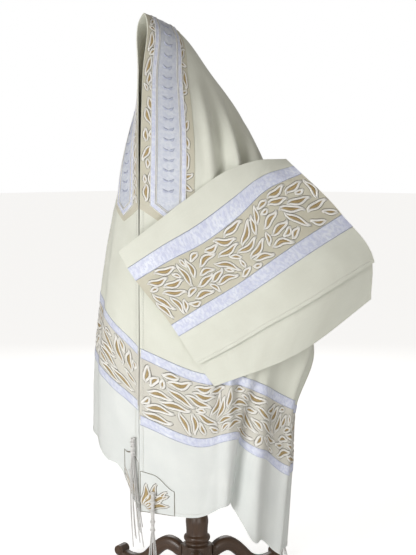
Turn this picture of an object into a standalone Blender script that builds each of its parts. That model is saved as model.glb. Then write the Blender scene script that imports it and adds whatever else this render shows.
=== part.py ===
"""A tallit prayer shawl draped like a hood over a limbless dress form on a turned wooden stand.

The shawl is one rectangular cloth. Its long front edge runs from the floor side of one front,
up over the top of the form and down the other front, so the two fronts meet in a slit. Lengths
in the tables are centimetres, with +Z up, the slit facing -Y and the wearer's left at +X.
"""

import math

import bmesh
import bpy
import numpy as np

for stale in list(bpy.data.objects):
    bpy.data.objects.remove(stale, do_unlink=True)

CM = 0.01

# Cloth and trim thicknesses, in centimetres, measured out from the middle of the main cloth
CLOTH_HALF = 0.10
SEAM_GAP = 0.035
TRIM_IN = CLOTH_HALF + SEAM_GAP
TRIM_OUT = TRIM_IN + 0.10
STRIP_OUT = TRIM_OUT + SEAM_GAP + 0.10

# Distances along each half of the shawl from its top line to its hem
RIBBON_WIDTH = 2.0
UPPER_RIBBON_AT = 67.0
LOWER_RIBBON_AT = 81.0
UPPER_SEAM = UPPER_RIBBON_AT + 0.5 * RIBBON_WIDTH
LOWER_SEAM = LOWER_RIBBON_AT + 0.5 * RIBBON_WIDTH
HEM_AT = 100.0
PATCH_AT = 92.0
NECKBAND_SHOULDER = 38.0
NECKBAND_TIP = 2.8
UNDERSTRIP_LAP = 1.1
STRIP_LAP = 0.3

# Distances across the cloth from its front edge
STRIP_EDGE = 2.0
STRIP_FAR_EDGE = 9.0
UNDERSTRIP_EDGE = 10.6
PATCH_WIDTH = 5.5 + 2.4
CLOTH_WIDTH = 70.0

# Where each station of the table below lies across the cloth
STATIONS = (0.0, UNDERSTRIP_EDGE, 24.0, 40.0, CLOTH_WIDTH)

# One row for each section across the cloth, by its distance along from the top line, negative on
# the wearer's right. Each point is x, y, z in centimetres.
# along, front edge, past the neckband, shoulder, side, back edge
SECTIONS = (
    (-100.0, (-0.5, -16.3, 18.0), (-11.4, -15.6, 28.6), (-19.8, -8.0, 31.5),
     (-19.5, 3.5, 33.0), (-13.0, 14.0, 27.0)),
    (-82.0, (-0.6, -16.4, 40.2), (-12.0, -15.6, 46.4), (-20.0, -6.5, 50.0),
     (-18.8, 5.0, 49.0), (-13.0, 14.5, 41.0)),
    (-67.0, (-0.5, -16.3, 52.1), (-11.2, -15.2, 59.0), (-19.2, -6.5, 63.0),
     (-18.2, 5.5, 60.0), (-12.5, 15.2, 50.0)),
    (-40.0, (-0.5, -16.0, 79.2), (-10.2, -13.4, 79.4), (-18.2, -4.0, 77.5),
     (-17.5, 8.0, 71.0), (-11.5, 16.8, 58.0)),
    (-25.0, (-0.6, -15.8, 93.9), (-7.5, -13.0, 91.6), (-14.4, -1.2, 89.8),
     (-13.2, 9.5, 82.0), (-8.5, 18.0, 62.5)),
    (-12.0, (-0.8, -15.5, 106.5), (-4.6, -8.6, 104.8), (-6.8, 3.6, 99.8),
     (-6.0, 12.4, 90.0), (-4.6, 18.6, 65.0)),
    (-2.2, (-1.0, -14.9, 116.6), (-1.5, -5.9, 113.7), (-1.8, 2.7, 106.5),
     (-1.8, 12.2, 97.0), (-1.4, 18.9, 66.2)),
    (0.0, (0.0, -14.7, 117.8), (0.0, -5.6, 115.1), (0.0, 3.0, 107.8),
     (0.0, 12.6, 98.3), (0.0, 19.0, 66.4)),
    (2.2, (1.0, -14.9, 116.6), (1.5, -5.9, 113.7), (1.8, 2.7, 106.5),
     (1.8, 12.2, 97.0), (1.4, 18.9, 66.2)),
    (12.0, (0.6, -15.6, 106.5), (4.8, -7.3, 104.8), (6.8, 3.6, 99.8),
     (6.0, 12.4, 90.0), (4.6, 18.6, 65.0)),
    (25.0, (0.4, -16.0, 93.9), (8.1, -8.9, 92.7), (14.4, 0.8, 89.8),
     (13.0, 10.5, 82.0), (9.0, 18.2, 61.5)),
    (40.0, (0.4, -16.3, 79.2), (8.8, -9.6, 78.5), (17.6, -0.6, 77.3),
     (17.5, 9.5, 70.0), (12.5, 17.2, 54.0)),
    (55.0, (0.3, -16.3, 64.0), (8.9, -9.8, 61.5), (17.2, -1.6, 61.0),
     (20.6, 10.2, 54.5), (14.8, 17.6, 45.5)),
    (67.0, (0.3, -16.3, 52.0), (8.9, -9.8, 47.6), (15.9, -2.7, 46.4),
     (18.6, 8.6, 41.2), (14.2, 16.0, 37.0)),
    (82.0, (0.3, -16.5, 37.4), (9.1, -10.0, 33.2), (15.6, -3.5, 34.4),
     (18.2, 6.9, 26.5), (14.5, 13.6, 26.0)),
    (100.0, (0.2, -16.5, 18.3), (9.2, -10.0, 17.6), (15.1, -4.0, 20.0),
     (16.7, 5.4, 9.0), (14.6, 12.4, 10.4)),
)

# Folds, each a soft ridge (positive) or trough along the cloth.
# side, across, half width, height, starts along, full along, drift across at the hem, share left at the hem
FOLDS = (
    (1, 13.8, 1.5, 0.40, 8, 24, 1.5, 0.1),
    (1, 16.8, 1.6, -0.55, 8, 24, 1.0, 0.1),
    (1, 20.4, 1.9, 0.60, 10, 26, 1.0, 0.2),
    (1, 23.0, 2.2, -3.90, 60, 84, -0.6, 1.0),
    (1, 28.6, 3.0, 0.70, 50, 80, 0.0, 1.0),
    (1, 35.0, 3.0, -0.50, 20, 60, 0.0, 1.0),
    (1, 43.5, 3.2, 0.60, 14, 70, 0.0, 1.0),
    (1, 51.0, 3.2, -0.65, 14, 70, 0.0, 1.0),
    (1, 58.5, 3.2, 0.65, 10, 70, 0.0, 1.0),
    (1, 65.5, 3.0, -0.50, 10, 70, 0.0, 1.0),
    (1, 15.5, 3.0, -0.30, 60, 90, 0.0, 1.0),
    (-1, 5.5, 2.4, 0.30, 30, 80, 0.0, 1.0),
    (-1, 12.0, 2.0, -0.50, 14, 60, 1.4, 1.0),
    (-1, 17.2, 2.1, 0.55, 12, 60, 1.0, 1.0),
    (-1, 22.4, 2.2, -0.60, 12, 60, 0.0, 1.0),
    (-1, 28.6, 2.8, 0.65, 14, 60, 0.0, 1.0),
    (-1, 35.5, 2.9, -0.65, 12, 50, 0.0, 1.0),
    (-1, 43.5, 3.1, 0.70, 12, 60, 0.0, 1.0),
    (-1, 51.0, 3.1, -0.70, 10, 60, 0.0, 1.0),
    (-1, 58.5, 3.1, 0.70, 8, 60, 0.0, 1.0),
    (-1, 65.5, 2.8, -0.50, 8, 60, 0.0, 1.0),
)
FOLD_FADE = (50.0, 88.0)

# The length of cloth folded over the wearer's left shoulder. One row for each station along it, from
# its free end in front of the slit to the fold past the shoulder.
# along, top edge, upper ribbon, lower ribbon, bottom edge, hem of the layer under it
SHOULDER_STATIONS = (0.0, 3.6, 18.0, 28.4, 34.2)
SHOULDER_LENGTH = 51.0
SHOULDER = (
    (0.0, (-2.0, -20.0, 71.4), (-0.3, -19.1, 68.2), (6.7, -13.9, 57.1),
     (11.1, -10.9, 49.2), (13.1, -8.3, 44.7)),
    (10.0, (3.2, -15.5, 76.7), (5.0, -14.9, 72.6), (11.7, -10.1, 61.1),
     (16.2, -6.4, 52.9), (16.8, -4.9, 46.5)),
    (20.5, (8.4, -11.0, 82.0), (10.2, -10.4, 76.7), (16.7, -5.7, 65.2),
     (21.1, -1.5, 57.0), (20.1, -1.4, 48.2)),
    (31.0, (13.2, -5.8, 87.0), (15.1, -5.8, 82.5), (21.3, -1.0, 69.8),
     (25.6, 3.9, 60.8), (23.3, 3.2, 50.3)),
    (41.0, (17.0, -0.3, 89.3), (18.7, -1.1, 86.1), (24.8, 4.7, 74.1),
     (29.1, 10.5, 64.9), (26.2, 9.5, 53.7)),
    (51.0, (19.9, 5.0, 89.6), (22.0, 4.8, 88.2), (28.1, 12.5, 78.7),
     (31.6, 18.8, 69.0), (30.4, 20.3, 61.1)),
)

# The cloth behind starts this far in from the outer fold and this far behind it
FOLD_LAP = 0.5
FOLD_SEAT = 0.23

# How far the folded length is set back so that it rests on the cloth under it
SHOULDER_SEAT = (-0.055, 0.055, 0.0)

# The same cloth behind the outer fold, brought round to the back of the form.
# along, top edge, middle, bottom edge
SHOULDER_BACK = (
    (0.0, (19.3, 5.6, 89.0), (25.0, 13.4, 75.0), (30.3, 20.6, 61.3)),
    (11.0, (16.6, 13.6, 85.6), (21.8, 20.2, 70.6), (26.0, 24.6, 55.5)),
    (23.0, (9.6, 17.6, 81.0), (13.4, 21.8, 66.4), (16.5, 23.4, 51.6)),
    (34.0, (1.0, 17.8, 77.5), (3.0, 20.4, 64.0), (5.0, 21.2, 50.0)),
)

# Dress form, one row for each level: height, half width, half depth, centre forward
FORM_LEVELS = (
    (29.0, 8.2, 6.6, 0.0),
    (31.0, 9.2, 7.6, 0.0),
    (40.0, 10.0, 8.2, 0.0),
    (52.0, 10.4, 8.4, 0.0),
    (66.0, 13.2, 9.8, 0.3),
    (76.0, 14.4, 10.2, 0.3),
    (83.0, 14.2, 8.6, 0.2),
    (87.0, 12.75, 6.4, 0.0),
    (88.8, 9.2, 5.2, 0.0),
    (89.6, 4.6, 4.4, 0.0),
)
FORM_SIDES = 24

# Neck and head block of the form, leaning forward: height, centre y, half width, half depth
NECK_LEVELS = (
    (89.64, -0.2, 4.2, 4.2),
    (94.0, -0.6, 3.6, 4.0),
    (98.5, -2.4, 3.1, 4.6),
    (102.5, -4.8, 2.8, 5.8),
    (106.5, -6.3, 2.4, 6.5),
    (110.0, -7.8, 2.0, 5.8),
    (112.6, -9.0, 1.5, 4.5),
    (114.4, -9.8, 1.0, 3.2),
    (115.93, -10.3, 0.45, 1.6),
)
NECK_SIDES = 20

# Turned column, one row for each level: height, radius
COLUMN_LEVELS = (
    (2.2, 1.6), (2.9, 2.6), (3.5, 3.3), (7.4, 3.3), (7.9, 2.5), (8.3, 2.5), (8.8, 2.8), (9.5, 2.8),
    (10.0, 2.35), (11.5, 2.3), (17.0, 2.2), (22.0, 2.1), (26.0, 2.3), (27.6, 3.2), (28.6, 4.6),
    (28.96, 4.6),
)
COLUMN_SIDES = 20

# Scroll leg, one row for each point along it: reach from the column's axis, height, half height, half width
LEG_POINTS = (
    (3.33, 5.5, 1.5, 1.2),
    (4.3, 5.5, 1.5, 1.2),
    (5.6, 6.2, 1.6, 1.3),
    (7.2, 6.5, 1.6, 1.4),
    (8.8, 5.9, 1.55, 1.4),
    (10.6, 4.4, 1.5, 1.4),
    (12.6, 2.4, 1.45, 1.4),
    (15.0, 1.15, 1.35, 1.4),
    (17.4, 1.05, 1.25, 1.4),
    (19.4, 1.8, 1.1, 1.3),
    (20.6, 3.1, 0.9, 1.2),
)
LEG_SIDES = 8
LEG_TURNS = (73.0, 193.0, 313.0)

# Corner tassels: name, hole along and across, stand-off from the cloth, length, lean of the loose strands
TASSELS = (
    ("left_front", 95.5, 2.6, 0.82, 20.0, (0.05, -0.05)),
    ("right_front", -88.5, 1.4, 0.68, 22.0, (-0.03, -0.05)),
    ("left_back", 96.0, 67.8, 0.70, 11.4, (0.02, 0.06)),
    ("right_back", -95.5, 67.6, 0.80, 22.0, (-0.04, 0.06)),
)
STRAND_PITCH = 0.26
STRAND_RIM = 0.04
STRAND_SHARE = 1.0 - 2.0 * STRAND_RIM / STRAND_PITCH
WOUND_LENGTH = 8.0


def smooth_step(value, start, end):
    t = np.clip((value - start) / (end - start), 0.0, 1.0)
    return t * t * (3.0 - 2.0 * t)


def knot_weights(knots, at):
    """How much each knot counts in a smooth curve through the knots, for each place in at."""
    knots = np.asarray(knots, float)
    at = np.atleast_1d(np.asarray(at, float))
    last = len(knots) - 1
    k = np.clip(np.searchsorted(knots, at) - 1, 0, last - 1)
    step = knots[k + 1] - knots[k]
    f = (at - knots[k]) / step
    slopes = np.zeros((last + 1, last + 1))
    for i in range(last + 1):
        for low, share in ((i - 1, 0), (i, 1)):
            if low < 0 or low >= last:
                continue
            w = 1.0
            if 0 < i < last:
                ahead = (knots[i] - knots[i - 1]) / (knots[i + 1] - knots[i - 1])
                w = ahead if share else 1.0 - ahead
            length = knots[low + 1] - knots[low]
            slopes[i, low] -= w / length
            slopes[i, low + 1] += w / length
    rows = np.arange(len(at))
    weights = np.zeros((len(at), last + 1))
    weights[rows, k] += 2 * f**3 - 3 * f**2 + 1
    weights[rows, k + 1] += 3 * f**2 - 2 * f**3
    weights += ((f**3 - 2 * f**2 + f) * step)[:, None] * slopes[k]
    weights += ((f**3 - f**2) * step)[:, None] * slopes[k + 1]
    return weights


def table_point(table, stations, along, across):
    """Points on the smooth surface through a table of sections."""
    points = np.array([row[1:] for row in table], float)
    down = knot_weights([row[0] for row in table], along)
    over = knot_weights(stations, across)
    return np.einsum("ni,nj,ijc->nc", down, over, points)


def carrier(along, across):
    """The main cloth without its folds."""
    return table_point(SECTIONS, STATIONS, along, across)


def normals_of(surface, along, across, step=0.25):
    """Unit normals away from the form; the cloth over the shoulder is laid out the other way round."""
    da = surface(along + step, across) - surface(along - step, across)
    db = surface(along, across + step) - surface(along, across - step)
    n = np.cross(da, db) if surface in (carrier, shawl) else np.cross(db, da)
    return n / np.linalg.norm(n, axis=1)[:, None]


def shawl(along, across):
    """Points on the middle of the main cloth, folds and all."""
    lift = np.zeros(len(along))
    for side, at, width, height, start, full, drift, left in FOLDS:
        reach = np.maximum(side * along, 0.0)
        off = (across - at - drift * reach / HEM_AT) / width
        share = 1.0 - (1.0 - left) * smooth_step(reach, *FOLD_FADE)
        lift += height * share * smooth_step(reach, start, full) * np.exp(-(off**2))
    return carrier(along, across) + lift[:, None] * normals_of(carrier, along, across)


def shoulder(along, across):
    """Points on the top layer over the shoulder, seated against the hanging cloth."""
    return table_point(SHOULDER, SHOULDER_STATIONS, along, across) + np.array(SHOULDER_SEAT)


def shoulder_under(along, across):
    """Points on the layer under it, which hangs back a little further at its hem."""
    back = 0.27 + 0.45 * smooth_step(across, 2.0, SHOULDER_STATIONS[3])
    return shoulder(along, across) - back[:, None] * normals_of(shoulder, along, across)


def shoulder_back(along, across):
    """Points on the cloth behind the outer fold; across runs 0 to 1 down it."""
    middle_rows = (0.0, 0.5, 1.0)
    wave = np.sin(along * 0.62 + 0.6) * smooth_step(across, 0.1, 0.9) * smooth_step(along, 2.0, 9.0)
    push = 0.45 * wave[:, None] * np.array((0.2, 0.98, 0.0))
    start = np.zeros(len(along))
    edge = np.full(len(along), SHOULDER_LENGTH - FOLD_LAP)
    down = across * SHOULDER_STATIONS[-1]
    fold = shoulder_under(edge, down) - FOLD_SEAT * normals_of(shoulder_under, edge, down)
    pull = 1.0 - smooth_step(along, 0.0, 10.0)
    to_fold = pull[:, None] * (fold - table_point(SHOULDER_BACK, middle_rows, start, across))
    return table_point(SHOULDER_BACK, middle_rows, along, across) + push + to_fold


def material(name, color, roughness, metallic=0.0):
    made = bpy.data.materials.new(name)
    made.use_nodes = True
    shader = made.node_tree.nodes["Principled BSDF"]
    shader.inputs["Base Color"].default_value = (*color, 1.0)
    shader.inputs["Roughness"].default_value = roughness
    shader.inputs["Metallic"].default_value = metallic
    return made


IVORY = (0.62, 0.60, 0.50)
WHITE = (0.78, 0.79, 0.77)
LAVENDER = (0.56, 0.58, 0.76)
SAND = (0.62, 0.57, 0.45)
TAN = (0.55, 0.47, 0.33)
LINEN = (0.30, 0.27, 0.22)
WALNUT = (0.055, 0.030, 0.016)


def mesh_object(name, points, faces, look):
    """An object from points in centimetres and its faces."""
    mesh = bpy.data.meshes.new(name)
    mesh.from_pydata([tuple(np.asarray(p) * CM) for p in points], [], faces)
    mesh.materials.append(look)
    made = bpy.data.objects.new(name, mesh)
    bpy.context.scene.collection.objects.link(made)
    work = bmesh.new()
    work.from_mesh(mesh)
    bmesh.ops.recalc_face_normals(work, faces=work.faces)
    work.to_mesh(mesh)
    work.free()
    mesh.shade_smooth()
    return made


def seam_line(along):
    """Both edges of a seam take the normal of its middle line, so that they stay apart."""
    for seam in (0.0, UPPER_SEAM, -UPPER_SEAM, LOWER_SEAM, -LOWER_SEAM):
        along = np.where(np.abs(along - seam) < SEAM_GAP, seam, along)
    return along


def sheet(name, surface, alongs, acrosses, inner, outer, look, shape_ends=None):
    """A cloth wall over a grid of the surface, from inner to outer along its normals."""
    along, across = (grid.ravel() for grid in np.meshgrid(alongs, acrosses, indexing="ij"))
    if shape_ends:
        along = shape_ends(along, across)
    centres = surface(along, across)
    normals = normals_of(surface, seam_line(along), across)
    points = list(centres + outer * normals)
    inside = list(centres + inner * normals)
    rows, cols = len(alongs), len(acrosses)
    count = rows * cols
    points += inside
    faces = []
    for i in range(rows - 1):
        for j in range(cols - 1):
            p = i * cols + j
            quad = (p, p + 1, p + cols + 1, p + cols)
            for tri in ((quad[0], quad[1], quad[2]), (quad[0], quad[2], quad[3])):
                faces.append(tri)
                faces.append(tuple(k + count for k in reversed(tri)))
    rim = [j for j in range(cols)]
    rim += [i * cols + cols - 1 for i in range(1, rows)]
    rim += [(rows - 1) * cols + j for j in range(cols - 2, -1, -1)]
    rim += [i * cols for i in range(rows - 2, 0, -1)]
    for k, p in enumerate(rim):
        q = rim[(k + 1) % len(rim)]
        # The same diagonal on both edges of a seam, so that twisted edges don't cross
        if p < q:
            faces += [(p, q, q + count), (p, q + count, p + count)]
        else:
            faces += [(p, q, p + count), (q, q + count, p + count)]
    return mesh_object(name, points, faces, look)


def loft_faces(rings, sides):
    """Faces of a tube of rings, closed at both ends."""
    faces = []
    for i in range(rings - 1):
        for k in range(sides):
            n = (k + 1) % sides
            faces.append((i * sides + k, i * sides + n, (i + 1) * sides + n, (i + 1) * sides + k))
    faces.append(tuple(range(sides)))
    faces.append(tuple((rings - 1) * sides + k for k in range(sides)))
    return faces


def turned(name, levels, sides, look):
    """A closed lofted body: each level is (height, centre y, half width, half depth)."""
    points = []
    for z, y, half_x, half_y in levels:
        for k in range(sides):
            turn = 2.0 * math.pi * k / sides
            points.append((half_x * math.cos(turn), y + half_y * math.sin(turn), z))
    return mesh_object(name, points, loft_faces(len(levels), sides), look)


# Grid lines along the shawl: the same ones serve the cloth and what lies on it, so walls stay parallel
HOOD_LINES = (0.0, 1.1, 2.4, 4.2, 7.5, 12.0, 17.5, 24.0, 31.0, NECKBAND_SHOULDER)
BODY_LINES = (42.5, 50.0, 58.0, UPPER_RIBBON_AT)
BAND_LINES = (UPPER_RIBBON_AT + RIBBON_WIDTH, 75.0, LOWER_RIBBON_AT)
END_LINES = (LOWER_RIBBON_AT + RIBBON_WIDTH, 87.5, PATCH_AT, HEM_AT)
ACROSS_LINES = (
    0.0, STRIP_EDGE, 5.5, STRIP_FAR_EDGE, UNDERSTRIP_EDGE, 13.8, 16.8, 19.0, 20.6, 21.7, 22.6, 23.6,
    25.2, 28.6, 32.0, 35.4, 39.4, 43.5, 47.2, 51.0, 54.7, 58.5, 62.0, 65.5, CLOTH_WIDTH,
)
HALF_GAP = 0.5 * SEAM_GAP

cloth_look = material("cloth_ivory", IVORY, 0.75)
end_look = material("cloth_white", WHITE, 0.72)
ribbon_look = material("satin_lavender", LAVENDER, 0.38)
band_look = material("band_sand", SAND, 0.8)
patch_look = material("patch_tan", TAN, 0.75)
cord_look = material("tassel_cord", WHITE, 0.8)
form_look = material("form_linen", LINEN, 0.85)
wood_look = material("dark_wood", WALNUT, 0.42)

for side, hand in ((1, "left"), (-1, "right")):

    def lines(*values):
        """Distances along this half, in rising order."""
        return sorted(side * v for v in values)

    sheet(
        f"cloth_{hand}", shawl, lines(HALF_GAP, *HOOD_LINES[1:], *BODY_LINES, UPPER_SEAM - HALF_GAP),
        ACROSS_LINES, -CLOTH_HALF, CLOTH_HALF, cloth_look,
    )
    sheet(
        f"band_{hand}", shawl, lines(UPPER_SEAM + HALF_GAP, *BAND_LINES, LOWER_SEAM - HALF_GAP),
        ACROSS_LINES, -CLOTH_HALF, CLOTH_HALF, band_look,
    )
    sheet(
        f"end_{hand}", shawl, lines(LOWER_SEAM + HALF_GAP, *END_LINES),
        ACROSS_LINES, -CLOTH_HALF, CLOTH_HALF, end_look,
    )
    for ribbon, at in (("upper", UPPER_RIBBON_AT), ("lower", LOWER_RIBBON_AT)):
        seam = at + 0.5 * RIBBON_WIDTH
        sheet(
            f"ribbon_{ribbon}_{hand}", shawl,
            lines(at, seam - HALF_GAP, seam + HALF_GAP, at + RIBBON_WIDTH),
            ACROSS_LINES, TRIM_IN, TRIM_OUT, ribbon_look,
        )
    sheet(
        f"corner_patch_{hand}_front", shawl, lines(PATCH_AT, HEM_AT),
        (0.0, STRIP_EDGE, 5.5, PATCH_WIDTH), TRIM_IN, TRIM_OUT, patch_look,
    )
    sheet(
        f"corner_patch_{hand}_back", shawl, lines(PATCH_AT, HEM_AT),
        (65.5, CLOTH_WIDTH), TRIM_IN, TRIM_OUT, patch_look,
    )

NECK_ENDS = NECKBAND_SHOULDER + 1.0
NECK_LINES = sorted({-v for v in (*HOOD_LINES, NECK_ENDS)} | {*HOOD_LINES, NECK_ENDS})
NECK_MIDDLE = 0.5 * (STRIP_EDGE + STRIP_FAR_EDGE)


def pointed(lap):
    """Draws a band's last row out to a point on its middle line, lap past the shoulder line."""

    def shape(along, across):
        rise = 1.0 - np.abs(across - NECK_MIDDLE) / NECK_MIDDLE
        ends = np.abs(along) > NECKBAND_SHOULDER
        reach = NECKBAND_SHOULDER + lap + NECKBAND_TIP * rise
        return np.where(ends, np.sign(along) * reach, along)

    return shape


sheet(
    "neckband_understrip", shawl, NECK_LINES,
    (0.0, STRIP_EDGE, NECK_MIDDLE, STRIP_FAR_EDGE, UNDERSTRIP_EDGE),
    TRIM_IN, TRIM_OUT, band_look, pointed(UNDERSTRIP_LAP),
)
sheet(
    "neckband_strip", shawl, NECK_LINES, (STRIP_EDGE, NECK_MIDDLE, STRIP_FAR_EDGE),
    TRIM_OUT + SEAM_GAP, STRIP_OUT, ribbon_look, pointed(STRIP_LAP),
)

SHOULDER_ALONGS = (0.0, 5.0, 10.0, 15.0, 20.5, 26.0, 31.0, 36.0, 41.0, 46.0, SHOULDER_LENGTH)
TOP_ACROSSES = (0.0, 3.6, 6.6, 10.4, 14.2, 18.0, 21.0, 24.7, 28.4)
UNDER_ACROSSES = (0.3, 3.6, 6.6, 10.4, 14.2, 18.0, 21.0, 24.7, 28.4, 31.3, 34.2)
sheet("shoulder_top", shoulder, SHOULDER_ALONGS, TOP_ACROSSES, -CLOTH_HALF, CLOTH_HALF, cloth_look)
sheet(
    "shoulder_under", shoulder_under, SHOULDER_ALONGS, UNDER_ACROSSES, -CLOTH_HALF, CLOTH_HALF, cloth_look,
)
sheet(
    "shoulder_back", shoulder_back, (0.0, 4.0, 8.0, 12.0, 16.0, 20.0, 24.0, 29.0, 34.0),
    (0.0, 0.17, 0.34, 0.5, 0.67, 0.84, 1.0), -CLOTH_HALF, CLOTH_HALF, cloth_look,
)
sheet("shoulder_ribbon_upper", shoulder, SHOULDER_ALONGS, (3.6, 6.6), TRIM_IN, TRIM_OUT, ribbon_look)
sheet("shoulder_ribbon_lower", shoulder, SHOULDER_ALONGS, (18.0, 21.0), TRIM_IN, TRIM_OUT, ribbon_look)
sheet(
    "shoulder_band", shoulder, SHOULDER_ALONGS, (6.6 + SEAM_GAP, 10.4, 14.2, 18.0 - SEAM_GAP),
    TRIM_IN, TRIM_OUT, band_look,
)

turned("form_torso", [(z, -forward, hx, hy) for z, hx, hy, forward in FORM_LEVELS], FORM_SIDES, form_look)
turned("form_neck", NECK_LEVELS, NECK_SIDES, form_look)
turned("stand_column", [(z, 0.0, r, r) for z, r in COLUMN_LEVELS], COLUMN_SIDES, wood_look)


def scroll_leg(name, turn):
    """A leg that rises off the column, sweeps down to the floor and curls up at its toe."""
    heading = np.array((math.cos(turn), math.sin(turn), 0.0))
    sideways = np.array((-math.sin(turn), math.cos(turn), 0.0))
    up = np.array((0.0, 0.0, 1.0))
    path = [(r, z) for r, z, _, _ in LEG_POINTS]
    points = []
    for i, (r, z, half_high, half_wide) in enumerate(LEG_POINTS):
        before, after = path[max(i - 1, 0)], path[min(i + 1, len(path) - 1)]
        run, rise = after[0] - before[0], after[1] - before[1]
        length = math.hypot(run, rise)
        upright = (-rise / length) * heading + (run / length) * up
        for k in range(LEG_SIDES):
            a = 2.0 * math.pi * (k + 0.5) / LEG_SIDES
            round_it = half_wide * math.cos(a) * sideways + half_high * math.sin(a) * upright
            point = r * heading + z * up + round_it
            # The foot is flat where it meets the floor
            point[2] = max(point[2], 0.0)
            points.append(point)
    faces = loft_faces(len(LEG_POINTS), LEG_SIDES)
    return mesh_object(name, points, faces, wood_look)


for number, degrees in enumerate(LEG_TURNS, 1):
    scroll_leg(f"stand_leg_{number}", math.radians(degrees))


def tassel(name, top, length, lean):
    """A wound cord with knots that opens into eight loose strands, all one body."""
    grid = [(i - 1.5, j - 1.5) for i in range(4) for j in range(4)]
    border = [0, 1, 2, 3, 7, 11, 15, 14, 13, 12, 8, 4]
    rings = 11
    points, faces = [], []

    def cord_point(cell, depth, width):
        x, y = cell
        return (top[0] + x * width, top[1] + y * width, top[2] - depth)

    for i in range(rings):
        depth = WOUND_LENGTH * i / (rings - 1)
        width = STRAND_PITCH * (0.95 if i % 2 else 0.68) if i < rings - 1 else STRAND_PITCH
        for k in border:
            points.append(cord_point(grid[k], depth, width))
    sides = len(border)
    for i in range(rings - 1):
        for k in range(sides):
            n = (k + 1) % sides
            faces.append((i * sides + k, i * sides + n, (i + 1) * sides + n, (i + 1) * sides + k))
    faces.append(tuple(reversed(range(sides))))
    foot = {}
    last = (rings - 1) * sides
    for place, k in enumerate(border):
        foot[k] = last + place
    for k in (5, 6, 9, 10):
        foot[k] = len(points)
        points.append(cord_point(grid[k], WOUND_LENGTH, STRAND_PITCH))
    loose = length - WOUND_LENGTH
    for i in range(3):
        for j in range(3):
            cell = [foot[4 * i + j], foot[4 * i + j + 1], foot[4 * i + j + 5], foot[4 * i + j + 4]]
            if (i, j) == (1, 1):
                faces.append(tuple(cell))
                continue
            outward = np.array((i - 1.0, j - 1.0))
            outward /= np.linalg.norm(outward)
            middle = np.mean([np.array(points[c]) for c in cell], axis=0)
            ring = cell
            reach = loose * (1.0 - 0.07 * ((3 * i + 5 * j) % 4))
            for part in range(5):
                t = part / 4.0
                shift = outward * (0.55 * t**0.8) + np.array(lean) * (loose * t * t)
                curl = 0.16 * math.sin(2.3 * i + 1.7 * j + 5.0 * t) * t
                centre = middle + np.array((shift[0] + curl, shift[1] - curl, -reach * t))
                new = []
                for corner in cell:
                    arm = (np.array(points[corner]) - middle) * STRAND_SHARE * (0.94 - 0.3 * t)
                    new.append(len(points))
                    points.append(tuple(centre + arm))
                for k in range(4):
                    n = (k + 1) % 4
                    faces.append((ring[k], ring[n], new[n], new[k]))
                ring = new
            faces.append(tuple(ring))
    return mesh_object(name, points, faces, cord_look)


for name, along, across, off, length, lean in TASSELS:
    hole = np.array([along]), np.array([across])
    root = shawl(*hole)[0] + off * normals_of(shawl, *hole)[0]
    tassel(f"tassel_{name}", root, length, lean)

# The whole part hangs from one empty, moved so that its outline's middle stands over the origin
solids = [made for made in bpy.data.objects if made.type == "MESH"]
corners = np.array([v.co for made in solids for v in made.data.vertices])
middle = 0.5 * (corners.min(axis=0) + corners.max(axis=0))
stand = bpy.data.objects.new("shawl_on_stand", None)
stand.location = (-middle[0], -middle[1], -corners[:, 2].min())
bpy.context.scene.collection.objects.link(stand)
for made in solids:
    made.parent = stand
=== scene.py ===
# %% [markdown]
# # A tallit draped on a dress form
#
# This lesson dresses a finished frame. The frame holds a prayer shawl as plain solids: walls of
# cloth, ribbons, bands, tassels, a limbless form and a turned wooden stand. Here each of them gets
# the surface that the eye expects: woven wool, satin, corded leaves, wound tassels and waxed wood.
#
# Lengths in the tables are centimetres, measured from the axis of the stand's column, with +Z up,
# the slit of the shawl facing -Y and the wearer's left at +X.

# %% Load the frame
import math

import bmesh
import bpy
import numpy as np
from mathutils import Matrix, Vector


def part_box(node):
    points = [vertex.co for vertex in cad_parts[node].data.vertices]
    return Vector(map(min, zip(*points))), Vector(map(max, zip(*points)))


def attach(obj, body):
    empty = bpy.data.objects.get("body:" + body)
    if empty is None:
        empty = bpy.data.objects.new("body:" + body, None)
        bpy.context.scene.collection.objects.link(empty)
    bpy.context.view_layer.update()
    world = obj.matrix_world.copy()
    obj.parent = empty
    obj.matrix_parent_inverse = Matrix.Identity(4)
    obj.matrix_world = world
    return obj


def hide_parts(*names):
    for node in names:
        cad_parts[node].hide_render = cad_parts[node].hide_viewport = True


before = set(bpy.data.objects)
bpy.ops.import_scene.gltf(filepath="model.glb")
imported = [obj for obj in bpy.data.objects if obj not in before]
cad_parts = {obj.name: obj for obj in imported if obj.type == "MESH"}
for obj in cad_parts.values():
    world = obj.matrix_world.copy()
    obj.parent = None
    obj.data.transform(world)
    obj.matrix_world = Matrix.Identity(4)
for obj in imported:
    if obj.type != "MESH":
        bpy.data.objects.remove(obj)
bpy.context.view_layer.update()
CM = 0.01
column_low, column_high = (np.array(corner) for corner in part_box("stand_column"))
COLUMN_AXIS = 0.5 * (column_low + column_high) / CM
COLUMN_AXIS[2] = 0.0
print("column axis, in centimetres:", np.round(COLUMN_AXIS, 2))

# %% [markdown]
# ## The shape of the cloth
#
# Draped cloth has no outline that can be lathed or extruded, so its shape is a table. Each row is a
# section across the shawl at one distance from the line over the top of the head, and a smooth
# curve runs through the rows both ways. A second table holds the folds: each is a soft ridge or
# trough that runs down the cloth. Everything that lies on the shawl asks the same functions where
# the cloth is, so ribbons and embroidery follow every fold.

# %% Sections and folds of the shawl
CLOTH_WIDTH = 70.0
HEM_AT = 100.0
UNDERSTRIP_EDGE = 10.6
UPPER_RIBBON_AT = 67.0
LOWER_RIBBON_AT = 81.0
RIBBON_WIDTH = 2.0
UPPER_SEAM = UPPER_RIBBON_AT + 0.5 * RIBBON_WIDTH
LOWER_SEAM = LOWER_RIBBON_AT + 0.5 * RIBBON_WIDTH

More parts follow.
